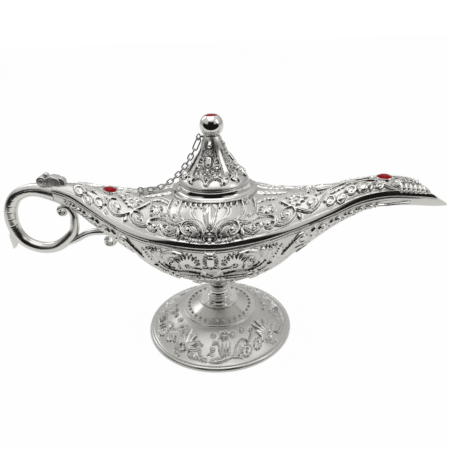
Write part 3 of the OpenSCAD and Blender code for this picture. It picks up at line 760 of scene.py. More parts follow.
def noise(tree, where, scale, detail=2):
    return add(tree, "TexNoise", {"Vector": where, "Scale": scale, "Detail": detail}).outputs["Fac"]


def ranged(tree, value, low, high, first=0, last=1, shape="LINEAR"):
    """A socket that goes from first to last as the value goes from low to high."""
    return add(tree, "MapRange", {"Value": value, "From Min": low, "From Max": high, "To Min": first,
                                  "To Max": last}, interpolation_type=shape).outputs["Result"]


def soft_step(tree, value, low, high):
    return ranged(tree, value, low, high, shape="SMOOTHSTEP")


def blend(tree, amount, low, high, mode="MIX"):
    """A colour that goes from low to high with the amount."""
    return add(tree, "Mix", {"Factor": amount, "A": low, "B": high}, data_type="RGBA",
               blend_type=mode).outputs["Result"]


def either(tree, amount, low, high):
    """A shader that goes from low to high with the amount."""
    return add(tree, "MixShader", {"Fac": amount, 1: low, 2: high}).outputs["Shader"]


def tinted(colour, share=1.0):
    return (*[c * share for c in colour], 1)


def new_material(name):
    material = bpy.data.materials.new(name)
    material.use_nodes = True
    return material, material.node_tree, only(material.node_tree, "BSDF_PRINCIPLED")


def plate_material(name, colour, rough, chased=False, grain=0.02, dark=0.2, ground=0.82):
    """Bright plate: fine polishing marks, faint clouding; chased, painted shade in the sunk outline and on
    the ground between raised marks.
    """
    material, tree, shader = new_material(name)
    where = add(tree, "TexCoord").outputs["Object"]
    cloud = noise(tree, where, 90, 4)
    dull = ranged(tree, cloud, 0.3, 0.7, rough * 0.7, rough * 1.5)
    tone = blend(tree, cloud, tinted(colour, 0.93), tinted(colour))
    if chased:
        relief = add(tree, "Attribute", attribute_name="relief").outputs["Fac"]
        raised = ranged(tree, relief, 0.02, 0.35)
        # Painted shade: the sunk outline beside each raised mark is darkened towards dark times the colour
        tone = blend(tree, ranged(tree, relief, -0.42, -0.12), tinted(colour, dark), tone)
        # Painted shade on the ground between the marks: it takes ground times the tone, while raised marks
        # keep the full tone
        tone = blend(tree, 1, tone, ranged(tree, raised, 0, 1, ground, 1), "MULTIPLY")
        dull = maths(tree, "ADD", dull, ranged(tree, raised, 0, 1, 0.12, 0))
    bump = add(tree, "Bump", {"Strength": grain, "Distance": 0.0002, "Height": noise(tree, where, 900)})
    feed(tree, shader, {"Base Color": tone, "Roughness": dull, "Metallic": 1,
                        "Normal": bump.outputs["Normal"]})
    return material


def stone_material(name, colour):
    """Deep red glassy stone with a little cloud in it."""
    material, tree, shader = new_material(name)
    cloud = noise(tree, add(tree, "TexCoord").outputs["Object"], 500)
    bright = (min(1, colour[0] * 1.25), colour[1], colour[2] * 1.3, 1)
    feed(tree, shader, {"Base Color": blend(tree, cloud, tinted(colour, 0.6), bright),
                        "Roughness": 0.06, "IOR": 1.3, "Specular IOR Level": 0.22})
    return material


FINISH = {}


def finishes():
    """The lamp's materials, made once."""
    if not FINISH:
        colours = bpy.context.scene.lamp_colours
        silver = tuple(colours.silver)
        # dark and ground set the painted shade of each chased finish in its sunk outline and on its
        # ground; the under and satin finishes take less of it
        for key, name, share, rough, more in (
                ("chased", "chased_silver", 1, 0.13, {"chased": True}),
                ("chased_under", "chased_silver_under", 1, 0.15,
                 {"chased": True, "dark": 0.42, "ground": 0.93}),
                ("brushed", "brushed_silver", 1, 0.19, {}),
                ("satin", "satin_silver", 0.9, 0.22, {"chased": True, "dark": 0.45, "ground": 0.95}),
                ("polished", "polished_silver", 1, 0.07, {}),
                ("wire", "bright_wire", 0.62, 0.16, {})):
            FINISH[key] = plate_material(name, tuple(c * share for c in silver), rough, **more)
        FINISH["steel"] = plate_material("zinc_steel", tuple(colours.steel), 0.35, grain=0.15)
        FINISH["ruby"] = stone_material("red_stone", tuple(colours.ruby))
    return FINISH


def use_finish(names, key):
    """Gives CAD nodes that stay as they are a finish."""
    for name in names:
        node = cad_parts[name]
        node.data.materials.clear()
        node.data.materials.append(finishes()[key])


# Ornament of the upper shell, in flat millimetres: x along the lamp, then the
# distance up from the seam. Both sides of the lamp carry the same.


def ring(x, y, radius, width=0.5, height=1.0, start=0, sweep=360):
    """A raised ring or arc of a ring."""
    turns = [math.radians(start + sweep * k / 14) for k in range(15)]
    points = [(x + radius * math.cos(a), y + radius * math.sin(a)) for a in turns]
    return stroke(points, width, height)


def bead_ring(y, wide, high, radius, count):
    """Small beads round an oval on the middle line."""
    return [bead(wide * math.cos(a), y + high * math.sin(a), radius, 0.8)
            for a in (math.tau * k / count for k in range(count))]


def cabochon_mark(low, high, radius, height):
    """A smooth oval on the middle line."""
    return np.array([[0, low], [0, high]]), np.array([radius, radius]), height, "cabochon"


def volute(x, y, radius, start, hand):
    """A swelling curl with a domed eye."""
    points = []
    for k in range(13):
        s = k / 12
        a = math.radians(start + hand * 400 * s)
        r = radius * (1 - 0.62 * s)
        points.append((x + r * math.cos(a), y + r * math.sin(a)))
    return [stroke(points, radius * 0.25, tip=radius * 0.18), bead(x, y, radius * 0.46, 1.1)]


def bell_flower(x, y, turn):
    """Pointed petals over a small cup."""
    return moved(fan(0, 0, 90, 170, 6, 3.6, 0.55, 0.3) + [bead(0, 0.2, 0.7, 0.9)]
                 + [petal(-1.2, -1.1, 180, 1.4, 0.4), petal(1.2, -1.1, 0, 1.4, 0.4)], x, y, turn)


def middle_ornament():
    """The spear under the lid with its drops, fins, beads and scrolls."""
    half = [stroke([(0.5, 8.6), (1.9, 12.0), (2.6, 16.5), (2.6, 20.4)], 0.3, 0.5, tip=0.22)]
    half += [petal(x, top, -90, 2.6, 0.68, 1.0) for x, top in
             ((3.9, 20.9), (6.1, 21.0), (8.5, 21.5), (10.9, 21.8), (15.2, 22.4))]
    half += each(lens, ([(12.2, 24), (13.6, 19.5), (13.7, 15.6), (11.2, 11.4)], 0.5),
                 ([(7.2, 19.4), (7.6, 16), (5.9, 12.8)], 0.42, 0.6),
                 ([(17.6, 24.5), (18.9, 19), (18.4, 14.2), (15.2, 10.8)], 0.5))
    half += scroll([(2.9, 4.4), (2.7, 7.2), (4.2, 10.3), (7.3, 11.7), (10.6, 10.8),
                    (12.1, 8.2)], (9.4, 7.7), 0.95, 0.66, -1, 1.1, eye=1.0)
    half += [stroke([(4.6, 5.0), (4.3, 7.4), (5.4, 9.5), (7.5, 10.3), (9.4, 9.8)], 0.34, 0.75, tip=0.25)]
    half += bead_row([(2.6, 3.75), (5.2, 3.5), (7.6, 3.7), (9.8, 4.3)], 0.66, 1.45, 1.0)
    half += scroll([(10.4, 11.4), (13.4, 9.8), (16.6, 9.8), (20.0, 11.3), (23.4, 11.3),
                    (26.6, 9.6), (27.4, 6.8)], (24.6, 6.8), 0.9, 0.62, -1, 1.1, eye=0.9)
    half += [petal(21.3, 8.6, -90, 2.2, 0.8, 1.0)]
    half += [stroke([(13.0, 8.6), (14.2, 6.4), (16.6, 4.9), (18.9, 4.7), (20.4, 6.0),
                     (19.9, 8.0), (18.2, 8.2)], 0.85, 1.1, "twin", tip=0.55)]
    half += each(petal, (13.2, 6.9, -84, 3.1, 0.95, 1.1), (24.9, 13.2, 60, 1.7, 0.5),
                 (25.9, 12.6, 10, 1.5, 0.45), (21.8, 13.0, 90, 1.6, 0.45))
    half += each(bead, (18.4, 6.7, 0.85), (20.3, 13.6, 0.55), (15.9, 13.4, 0.6))
    marks = mirrored(half)
    marks += [lens([(0, 8.2), (0, 14.4), (0, 20.8)], 2.1, 0.8, "twin", 1.0),
              lens([(0, 9.4), (0, 14.4), (0, 19.8)], 1.15, 1.5, "dome", 1.0)]
    marks += [bead(0, 3.8, 0.85), bead(0, 6.3, 0.55, 0.8)]
    return marks


def shoulder_ornament():
    """Flowers, scrolls and long leaves between the middle and both ends."""
    marks = scroll([(26.2, 7.6), (28.6, 5.0), (33.0, 4.6), (36.2, 7.4), (35.4, 11.2)],
                   (32.6, 8.6), 1.0, 0.62, 1, 1.1, eye=1.1)
    marks += bell_flower(23.6, 15.4, 180)
    marks += daisy(37.4, 15.0, 4.2)
    marks += [stroke([(30.6, 16.5), (34.4, 12.2), (39.4, 7.6), (43.4, 5.4), (46.6, 7.0),
                      (48.6, 10.0), (51.6, 12.6), (56.0, 13.6), (60.4, 13.4)], 0.6, 1.1, tip=0.35)]
    marks += volute(44.0, 10.0, 2.5, 250, 1)
    marks += [petal(37.6, 6.6, -70, 2.6, 0.8, 1.0), bead(41.8, 14.2, 0.6), bead(46.5, 13.6, 0.7)]
    marks += scroll([(-26.4, 8.4), (-29.4, 6.2), (-33.4, 6.2), (-36.2, 8.6), (-35.2, 12.0)],
                    (-32.8, 9.6), 1.0, 0.62, -1, 1.1, eye=1.1)
    marks += bell_flower(-24.6, 17.0, 180)
    marks += daisy(-37.4, 17.4, 4.2)
    marks += [stroke([(-28.4, 20.6), (-31.4, 16.6), (-35.2, 12.6), (-39.0, 8.4), (-43.0, 5.9),
                      (-46.4, 6.3), (-48.2, 9.0), (-47.4, 12.8), (-45.0, 14.6)], 0.62, 1.1, tip=0.4)]
    marks += volute(-43.8, 10.4, 2.5, -70, -1)
    marks += [petal(-37.8, 7.4, -110, 2.8, 0.8, 1.0), bead(-41.8, 16.6, 0.6)]
    # Long leaves that climb the shoulder, a little higher towards the handle
    for hand, start in ((1, 0.0), (-1, 1.5)):
        marks += leaf([(hand * 20, 29 + start), (hand * 27, 25.5 + start),
                       (hand * 34, 21.5 + start)], 1.7)
        marks += leaf([(hand * 19, 20.5), (hand * 24, 21.8 + start), (hand * 29, 19.6 + start)], 1.3)
        marks += leaf([(hand * 24, 33), (hand * 31, 28.5), (hand * 38, 24)], 1.6)
        marks += scroll([(hand * 33, 18.5 + start), (hand * 39, 22.0), (hand * 45, 20.6)],
                        (hand * 43.4, 18.6), 1.0, 0.5, -hand, 0.9, eye=0.7)
        marks += leaf([(hand * 22, 38), (hand * 28, 34), (hand * 36, 29)], 1.5)
    return marks


def spout_ornament():
    """Curls, beads and a gadrooned shell along the spout."""
    marks = volute(51.9, 6.6, 2.7, 150, -1)
    marks += [bead(56.9, 5.5, 1.45, 1.2), ring(56.9, 5.5, 1.9, 0.25, 0.6)]
    marks += volute(61.5, 6.8, 2.5, 150, -1)
    marks += [bead(66.9, 6.2, 1.9, 1.2), ring(66.9, 6.3, 2.5, 0.35, 0.9, 0, 220)]
    marks += [petal(70.4, 5.8, -110, 2.0, 0.7, 1.1), bead(71.6, 7.4, 0.6)]
    marks += volute(73.9, 5.0, 1.7, 180, -1)
    marks += [lens([(75.4, 6.2), (77.4, 4.6), (80.2, 3.2)], 0.75, 1.1)]
    marks += volute(81.4, 6.4, 1.9, 200, 1)
    marks += [petal(83.0 + 2.05 * k, 5.4 - 0.12 * k, -90, 3.0 - 0.12 * k, 0.78, 1.2) for k in range(6)]
    marks += [ring(84.6 + 3.6 * k, 7.4, 1.1, 0.35, 0.9) for k in range(3)]
    marks += [stroke([(63.6, 10.6), (67.6, 10.4), (71.2, 9.4), (73.0, 8.4)], 0.45, 0.9, tip=0.3)]
    marks += [stroke([(60.2, 11.8), (65, 12.4), (70.5, 11.4)], 0.4, 0.8, tip=0.25)]
    marks += leaf([(52.4, 10.8), (56, 11.4), (60.4, 10.8)], 0.9, veins=3)
    marks += [lens([(46.5, 16.5), (52, 15.4), (58.6, 15.4)], 0.6, 0.8)]
    marks += [bead(48.6, 13.8, 0.6), bead(80, 9.2, 0.6), bead(95.2, 3.4, 0.6)]
    marks += [stroke([(79, 8.8), (85, 9.4), (91, 8.6)], 0.35, 0.8, tip=0.25)]
    return marks


def tail_ornament():
    """Curls and barred leaves between the handle and the first stone."""
    marks = volute(-62.4, 6.2, 3.2, 30, 1)
    marks += [bead(-57.3, 4.7, 1.5, 1.2), ring(-57.3, 4.7, 2.0, 0.25, 0.6)]
    marks += volute(-51.9, 6.6, 3.0, 30, 1)
    marks += [lens([(-64.5, 11.2), (-59, 10.4), (-53.5, 10.2)], 0.55, 1.0),
              lens([(-63.5, 13.0), (-58.5, 12.3), (-54.5, 11.9)], 0.5, 0.9),
              lens([(-66.2, 7.5), (-66.4, 10.8), (-63.4, 12.6)], 0.5, 0.9)]
    marks += [petal(-48.6, 5.0, -60, 2.0, 0.6, 1.0), bead(-49.6, 11.6, 0.7)]
    marks += [lens([(-55, 15.5), (-50, 18.5), (-44, 19.5)], 0.5, 0.8)]
    marks += [petal(-46.5 + 1.6 * k, 21.5, -80 + 10 * k, 2.4, 0.5) for k in range(4)]
    return marks


def upper_ornament():
    """All marks of the upper shell."""
    return middle_ornament() + shoulder_ornament() + spout_ornament() + tail_ornament()


# Ornament of the lower shell: x along the lamp, then the distance down from the seam


def rim_vine(hand, last):
    """Volutes with leaves along the rim, smaller towards one end of the lamp."""
    marks = []
    x = 39.5
    while x < last - 4:
        girth = float(LOWER.girth(hand * x))
        size = max(1.15, min(3.0, girth * 0.11))
        mid = 2.9 + size
        up = 1 if len(marks) % 2 else -1
        marks.append(vine_part(hand, x, size, mid, girth, up))
        x += size * 3.1
    return sum(marks, [])


def vine_part(hand, x, size, mid, girth, up):
    """One volute of the vine, with what fits below it."""
    marks = volute(hand * x, mid, size, 90 * up, hand * up)
    marks += [petal(hand * (x + size * 1.35), mid + 0.4 * size, 90 - hand * 30, size * 1.1, size * 0.3),
              petal(hand * (x + size * 1.35), mid - 0.2 * size, -90 + hand * 30, size, size * 0.3)]
    low = mid + size * 1.9
    if girth > 14:
        marks += leaf([(hand * (x - size), low), (hand * (x + 1.2 * size), low + 1.2),
                       (hand * (x + 3.0 * size), low - 0.2)], size * 0.42, veins=3)
    if girth > 20:
        marks += scroll([(hand * (x - 2), low + 5.5), (hand * (x + 2), low + 3.2),
                         (hand * (x + 5), low + 4.2)], (hand * (x + 3.6), low + 5.4),
                        0.9, 0.4, hand, 0.8, eye=0.5)
    return marks


def lower_ornament():
    """Medallion, fans, scrolls and leaves below the rim, then the vine towards both ends."""
    half = fan(9.9, 9.3, -90, 150, 9, 6.6, 0.62, 0.22)
    half += [bead(9.9, 9.6, 0.8), ring(9.9, 9.6, 1.5, 0.25, 0.7, 20, 140)]
    half += scroll([(12.4, 3.2), (16.6, 2.9), (20.8, 5.0), (21.8, 9.0), (19.4, 12.4)],
                   (17.0, 9.0), 1.25, 0.52, 1, 1.0, eye=0.8)
    half += [stroke([(5.0, 14.4), (10, 13.6), (15, 14.8), (19.6, 14.0), (23.6, 10.4), (25.8, 5.0)],
                    0.42, 0.9, tip=0.3)]
    half += [stroke([(0, 10.6), (1.9, 9.7), (3.6, 10.9), (3.0, 13.4), (0, 16.2)], 0.42, 1.0)]
    half += leaf([(3.6, 12.6), (6.4, 11.0), (8.8, 11.4)], 0.9, veins=2)
    half += [stroke([(0, 17.8), (5, 16.6), (10, 17.2), (16, 18.4), (22, 17.0), (28, 12.5)],
                    0.42, 0.8, tip=0.3)]
    half += leaf([(26.2, 13.5), (29.0, 9.6), (30.2, 4.4)], 1.5, veins=5)
    half += leaf([(30.6, 14.6), (33.4, 10.4), (35.2, 5.6)], 1.2, veins=5)
    half += [stroke([(24.2, 14.6), (28.6, 12.6), (32.6, 8.6), (37.6, 3.4)], 0.45, 1.0, tip=0.3),
             stroke([(21.6, 3.4), (24.6, 4.4), (26.0, 8.0)], 0.4, 0.9, tip=0.3)]
    half += [petal(23.2 + 1.5 * k, 4.2 + 0.3 * k, -75, 2.0, 0.42) for k in range(4)]
    half += [bead(x, y, 0.5, 0.9) for x, y in ((14.2, 5.2), (22.6, 12.2), (6.0, 8.4), (13.6, 12.4))]
    half += scroll([(5.2, 18.4), (9.6, 19.6), (14.4, 20.6), (18.6, 19.4)], (16.6, 17.4), 0.9, 0.4, -1,
                   0.9, eye=0.5)
    half += fan(21.5, 22.0, 60, 120, 5, 4.5, 0.5)
    half += leaf([(4, 20.5), (11, 21.5), (18, 21.0)], 1.5)
    half += volute(8.0, 25.5, 2.4, 90, 1) + volute(17.5, 26.5, 2.4, 90, -1)
    half += leaf([(24, 27), (30, 22), (35, 16)], 1.5)
    marks = mirrored(half)
    marks += [cabochon_mark(5.0, 7.6, 2.1, 0.95)] + bead_ring(6.3, 2.9, 3.9, 0.45, 18)
    marks += [bead(0, 1.9, 0.7), petal(-0.5, 2.0, 200, 1.6, 0.4), petal(0.5, 2.0, -20, 1.6, 0.4)]
    marks += fan(0, 17.6, 90, 100, 5, 4.6, 0.5)
    marks += [stroke([(73.5, 3.6), (77.5, 4.6), (82.0, 4.0), (87.5, 2.6)], 0.5, 1.0, tip=0.3)]
    marks += rim_vine(1, 78) + rim_vine(-1, 72)
    return marks


# Ornament of the lid and of the foot, drawn for one sector: along the ring
# from the sector's middle, then up the outline from the edge


def lid_ornament():
    """An arch, curls, drops and an oval in each field."""
    half = [ring(3.8, 3.4, 3.4, 0.5, 1.0, 0, 180)]
    half += volute(8.6, 4.9, 1.7, 180, -1)
    half += [petal(8.2, 7.2, 50, 1.9, 0.45)]
    half += each(bead, (1.0, 8.3, 0.75), (2.4, 9.7, 0.75), (3.9, 10.9, 0.7), (5.2, 11.9, 0.6, 0.9),
                 (4.6, 8.9, 0.55, 0.8))
    half += [stroke([(2.4, 11.2 + 1.35 * k), (3.7, 11.7 + 1.35 * k), (4.9 - 0.55 * k, 11.3 + 1.4 * k)],
                    0.42, 0.9, tip=0.25) for k in range(4)]
    half += [stroke([(8.4, 3.4), (7.2, 7.5), (5.4, 12.0), (3.6, 17.0), (3.0, 19.5)], 0.3, 0.7, tip=0.22)]
    half += [bead(1.5, 17.4, 0.4, 0.8)]
    marks = mirrored(half)
    marks += [bead(0, 6.7, 0.8, 1.0), bead(0, 10.0, 0.75, 1.0)]
    marks += [cabochon_mark(13.0, 15.4, 1.5, 1.3)] + bead_ring(14.2, 2.35, 3.3, 0.36, 20)
    marks += [ring(0, 18.8, 0.8, 0.28, 1.0), bead(0, 18.8, 0.4, 0.9), ring(0, 21.2, 0.7, 0.3, 1.0),
              bead(0, 21.2, 0.4, 0.9)]
    return marks


def foot_ornament():
    """A fan, scrolls, daisies and leaves along the flank."""
    marks = fan(-18.4, 6.0, 86, 150, 9, 11.2, 0.85, 0.2)
    marks += [stroke([(x, y), (x + 1.2 * math.cos(a), y + 1.2 * math.sin(a))], 0.3, 0.9)
              for x, y, a in ((-21.3, 5.4, 2.6), (-20.6, 4.3, 3.0))]
    marks += leaf([(-20.4, 4.2), (-17.0, 6.6), (-14.0, 7.6)], 1.0, veins=3)
    marks += [lens([(-17.5, 6.6), (-14.2, 9.2), (-10.6, 10.3), (-7.8, 9.6)], 0.8, 1.1)]
    marks += scroll([(-9.0, 5.0), (-10.6, 7.6), (-13.6, 7.2), (-15.4, 4.6)], (-13.4, 4.2), 0.9, 0.42, 1,
                    1.0, eye=0.6)
    marks += bead_row([(-11.4, 3.2), (-6.6, 2.9)], 0.55, 1.5, 1.0)
    marks += [bead(-3.1, 8.2, 0.95, 1.2), lens([(-3.0, 10.4), (-1.6, 11.8), (-0.6, 10.6)], 0.5, 1.0)]
    marks += [bead(-2.7, 15.2, 0.8, 1.1), bead(6.6, 15.0, 1.05, 1.2), bead(11.4, 16.0, 0.95, 1.2),
              bead(16.4, 14.2, 0.7)]
    marks += daisy(2.6, 14.8, 2.5, 6, 20) + [bead(2.6, 14.8, 0.9, 1.1)]
    marks += [lens([(1.6 + 1.1 * k, 4.6), (0.4 + 1.5 * k, 8.0), (-0.4 + 2.0 * k, 12.4 - 0.5 * k)],
                   0.42, 0.9) for k in range(4)]
    marks += [lens([(-2.6, 5.2), (-4.4, 6.2), (-5.6, 5.6)], 0.4, 0.9)]
    marks += leaf([(-4.6, 2.6), (0.5, 3.2), (6.0, 4.4), (9.6, 3.6), (11.8, 2.6)], 0.85, veins=5)
    marks += daisy(13.6, 5.6, 3.0) + daisy(19.9, 6.6, 2.8)
    marks += [stroke([(7.6, 5.0), (8.4, 9.0), (11.2, 11.4), (13.6, 10.4), (14.0, 9.3)], 0.4, 1.0, tip=0.3),
              stroke([(15.0, 9.6), (17.0, 12.2), (20.0, 12.0), (22.6, 9.0)], 0.42, 1.0, tip=0.3),
              stroke([(9.6, 5.0), (10.4, 8.4)], 0.3, 0.7)]
    marks += leaf([(17.0, 12.4), (19.4, 14.6), (19.0, 17.2)], 0.8, veins=3)
    marks += [petal(23.6, 6.0, 95, 2.4, 0.5), petal(-23.6, 8.0, 80, 2.6, 0.5), bead(-23.4, 4.4, 0.7)]
    marks += bead_row([(-23.0, 2.6), (-21.0, 2.4)], 0.5, 1.4)
    return marks


class ShellsOperator(bpy.types.Operator):
    """Chases the two halves of the boat-shaped body."""

    bl_idname = "lamp.shells"
    bl_label = "Chased shells"

    def execute(self, context):
        sizes = context.scene.lamp_sizes
        relief, cell = sizes.relief / MM, sizes.cell / MM
        band = sizes.rim_band / MM

        def upper_edge(x, run, girth):
            """The polished band, wider towards the tail and rounded at the seam."""
            wide = band + 1.2 * np.clip((-x - 20) / 40, 0, 1)
            wide = np.minimum(wide, girth * 0.3)
            soft = np.clip((wide - run) / 0.5, 0, 1)
            lip = np.clip(run / 0.35, 0, 1)
            return 0.7 * soft * soft * (3 - 2 * soft) * np.sqrt(lip * (2 - lip))

        def lower_edge(x, run, girth):
            """Two fine lines under the seam, which fade where the hull is thin."""
            line = np.exp(-((run - 0.75) / 0.25) ** 2) + 0.5 * np.exp(-((run - 1.9) / 0.2) ** 2)
            return 0.3 * line * np.clip((girth - 9) / 3, 0, 1)

        for hull, node, finish, marks, edge, cuts, size, end in (
                (UPPER, "upper_shell", "chased", upper_ornament(), upper_edge, UPPER_CUTS, cell,
                 SPOUT_REACH),
                (LOWER, "lower_shell", "chased_under", lower_ornament(), lower_edge, LOWER_CUTS,
                 cell * LOWER_CELL, SPOUT_REACH - LOWER_CAVE_INSET)):
            for k, stretch in enumerate(zip(cuts, cuts[1:])):
                shell = hull_shell(hull, marks, relief, edge, stretch, size,
                                   (-TAIL_REACH + CAVE_INSET, end))
                if hull.upper:
                    hole = [f for f in shell.faces
                            if math.hypot(*f.calc_center_median()[:2]) < MOUTH_HOLE_R]
                    bmesh.ops.delete(shell, geom=hole, context="FACES")
                finish_mesh(f"{node}_chased_{k + 1}", shell, finish, node)
        return {"FINISHED"}


class TurnedOperator(bpy.types.Operator):
    """Turns the foot, stem, collar, lid and ball."""

    bl_idname = "lamp.turned"
    bl_label = "Turned parts"

    def execute(self, context):
        relief = context.scene.lamp_sizes.relief / MM

        flank = smooth_path([(35.9, 2.2), (34.7, 2.35), (29.1, 6.45), (21.8, 10.9), (19.3, 11.8)],
                            spacing=0.28)
        edge = [(34.9, 0), (37.1, 0), (37.3, 0.25), (37.3, 0.7), (37.1, 1.3), (36.7, 1.85), (36.3, 2.15)]
        tier = rounded([(19.2, 11.9, 0), (18.9, 12.5, 0.3), (17.9, 12.75, 0.3), (17.1, 12.6, 0.2),
                        (14.2, 13.6, 1), (10.6, 15.3, 1), (10, 15.6, 0)])
        under = [(2.1, 15.6), (2.1, 6), (6, 6), (6, 12.6), (9.6, 12.6), (17.1, 10), (28.35, 4.45),
                 (33.9, 1)]
        foot = lathe(flank, tier + under + edge, 720, foot_ornament(), FOOT_TURN, relief * FOOT_RELIEF)
        count, ring_radius, level, size = FOOT_BEADS
        beads = bmesh.new()
        for k in range(count):
            a = math.tau * k / count
            place = Matrix.Translation((ring_radius * math.cos(a), ring_radius * math.sin(a), level))
            bmesh.ops.create_uvsphere(beads, u_segments=16, v_segments=10, radius=size, matrix=place)
        spare = bpy.data.meshes.new("beads")
        beads.to_mesh(spare)
        beads.free()
        foot.from_mesh(spare)
        bpy.data.meshes.remove(spare)
        finish_mesh("foot_chased", foot, "satin", "foot", 50)

        bulge = [(5.05 + 1.35 * math.cos(math.radians(a)), 18.8 + 1.35 * math.sin(math.radians(a)), 0)
                 for a in range(-80, 81, 10)]
        stem = turned(rounded(
            [(2.1, 15.6, 0), (9.2, 15.6, 0.3), (9.6, 16.1, 0.3), (9.6, 16.6, 0.3), (9.1, 16.8, 0.5),
             (7.4, 16.5, 0.8), (5.4, 17.1, 0.5)] + bulge
            + [(4.6, 20.4, 0.3), (4.1, 21.4, 0.6), (4.1, 23, 0.3), (4.9, 23.3, 0.25), (4.9, 24, 0.25),
               (4.4, 24.3, 0.4), (5, 27.2, 1.2), (6.4, 29, 1), (7, 29.8, 0.4), (7, 30.4, 0.1),
               (2.1, 30.4, 0)]), 96)
        finish_mesh("stem_turned", stem, "polished", "stem", 50)

        hollow = [(20.95 - math.sqrt(4.6 ** 2 - (z - 80.8) ** 2), z, 0)
                  for z in np.linspace(78.4, 80.2, 9)]
        collar = turned(rounded(
            [(15, 71.25, 0), (19.1, 71.25, 0), (19.1, 77.0, 0.1), (19.7, 77.25, 0.25), (19.65, 77.9, 0.3),
             (18.1, 78.0, 0.3)] + hollow
            + [(16.35, 80.45, 0.2), (15.9, 80.7, 0.2), (15, 80.7, 0)]), 128)
        finish_mesh("collar_turned", collar, "polished", "collar", 50)

        share = np.linspace(0, 0.86, 104)
        outline = [(r, LID_SEAT_Z + LID_H * s) for r, s in zip(lid_radius(share), share)]
        outline += [(4.55, 99.6), (4.2, 100.6), (3.85, 101.4), (3.6, 101.9)]
        cave = [(lid_radius(s) - 1.6, LID_SEAT_Z + LID_H * s) for s in (0.62, 0.5, 0.38, 0.26, 0.16, 0.06)]
        inside = [(1.55, 101.9), (1.55, 96.5), *cave, (13, 80.2), (13, 77.9), (14.6, 77.9), (14.6, 80.7)]
        lid = lathe(outline, inside, 480, lid_ornament(), LID_TURN, relief, chained=True)
        finish_mesh("lid_chased", lid, "chased_under", "lid", 50, "lid_unit")

        ball = [(0, 96.5), (1.5, 96.5), (1.5, 101.9), (2.85, 101.9)]
        low, high = math.asin(-4.42 / 5.26), math.acos(2.9 / 5.26)
        ball += [(5.26 * math.cos(a), 106.32 + 5.26 * math.sin(a)) for a in np.linspace(low, high, 40)[1:]]
        ball += [(2.72, 110.62), (2.7, 110.4), (2.7, 109.81), (0, 109.81)]
        finish_mesh("ball_turned", turned(ball, 96, closed=False), "polished", "finial_ball", 40,
                    "lid_unit")
        return {"FINISHED"}


def thumb_rest_mesh(bar):
    """A curl with a knob, a ribbed saddle and a block, standing on the bar."""
    x, z = bar[0] + 0.8, bar[1] + bar[2]
    tail = -TAIL_REACH
    bm = bmesh.new()
    side = Matrix.Rotation(math.radians(90), 4, "X")
    # Each barrel across the bar: place, radius, half width
    barrels = [(x + 3.2, z + 1.6, 2.4, 3.0), (x + 3.2, z + 1.6, 1.35, 3.3)]
    barrels += [(x + 6.4 + 2.6 * k, z + 0.5 + 0.15 * k, 2.9, 2.5 + 0.1 * k) for k in range(2)]
    barrels += [(tail - 0.6, z + 0.9, 3.0, 2.4), (tail + 3.0, z + 0.5, 2.5, 1.7)]
    for px, pz, radius, half in barrels:
        made = bmesh.ops.create_cone(bm, cap_ends=True, segments=40, radius1=radius, radius2=radius,
                                     depth=2 * half, matrix=Matrix.Translation((px, 0, pz)) @ side)
        caps = {e for v in made["verts"] for e in v.link_edges
                if len({round(w.co.y, 4) for w in e.verts}) == 1}
        bmesh.ops.bevel(bm, geom=list(caps), offset=min(0.5, radius * 0.3), segments=3,
                        affect="EDGES", profile=0.5, material=-1)
    bmesh.ops.create_uvsphere(bm, u_segments=24, v_segments=14, radius=1.5,
                              matrix=Matrix.Translation((x + 5, 0, z + 3.9)))
    return bm


class HandleOperator(bpy.types.Operator):
    """Sweeps the scroll handle and its strut, and shapes the thumb rest."""

    bl_idname = "lamp.handle"
    bl_label = "Handle"

    def execute(self, context):
        width, rim, _, _, keel = (float(a) for a in hull_lines(-TAIL_REACH))

        def on_handle(u, v, t, w):
            return -TAIL_REACH - HANDLE_REACH * u, LOOP_TOP - HANDLE_DROP * v, BAR * t, BAR * w

        def curled(centre, turn, radius):
            a = math.radians(turn)
            return centre[0] + radius * math.cos(a), centre[1] + radius * math.sin(a)

        loop = [(-75.55, rim - keel * 0.3, keel * 0.62, width)]
        loop += [on_handle(*row) for row in HANDLE_LINE]
        loop += [(*curled(INNER_CURL_AT, a, r), BAR * t, BAR * w) for a, r, t, w in INNER_CURL]

        def bars(u, angle):
            """Bars cut across the inner face of the outer bow, and a line along its edge."""
            k = u * (len(loop) - 1)
            inner = np.clip((np.cos(angle) + 0.3) * 4, 0, 1)
            reach = np.clip((k - 1.6) * 3, 0, 1) * np.clip((7.2 - k) * 3, 0, 1)
            wave = np.abs((k * 1.75 + 0.16 * np.cos(angle)) % 1 - 0.5) * 2
            cut = inner * reach * np.clip(1 - wave * 6, 0, 1)
            line = np.exp(-((np.cos(angle) + 0.34) / 0.09) ** 2)
            line *= np.clip(k - 1.2, 0, 1) * np.clip((7.4 - k) * 2, 0, 1)
            return -BAR_CUT * cut - LINE_CUT * line

        x, z = loop[11][:2]
        curl_x, curl_z = STRUT_CURL_AT
        strut = [(x + 1.86, z - 0.4, 1.364, STRUT_HALF_WIDTH),
                 (x + 6.6, curl_z + 0.6, 1.61, STRUT_HALF_WIDTH),
                 (curl_x - 9.6, curl_z + 4.1, 1.67, STRUT_HALF_WIDTH)]
        strut += [(*curled(STRUT_CURL_AT, a, r), BAR * t, STRUT_CURL_HALF_WIDTH) for a, r, t in STRUT_CURL]
        corner = on_handle(0.97, 0.69, 1, 1)
        tip = [(corner[0] + x, corner[1] + z, t, w) for x, z, t, w in LEAF_LINE]
        finish_mesh("handle_loop_swept", tube(loop, 56, 900, bars), "brushed", "handle_loop")
        finish_mesh("handle_strut_swept", tube(strut, 32, 420), "brushed", "handle_strut")
        finish_mesh("handle_leaf_swept", tube(tip, 24, 60), "brushed", "handle_leaf")
        finish_mesh("thumb_rest_shaped", thumb_rest_mesh(loop[2]), "satin", "thumb_rest", 40)
        return {"FINISHED"}


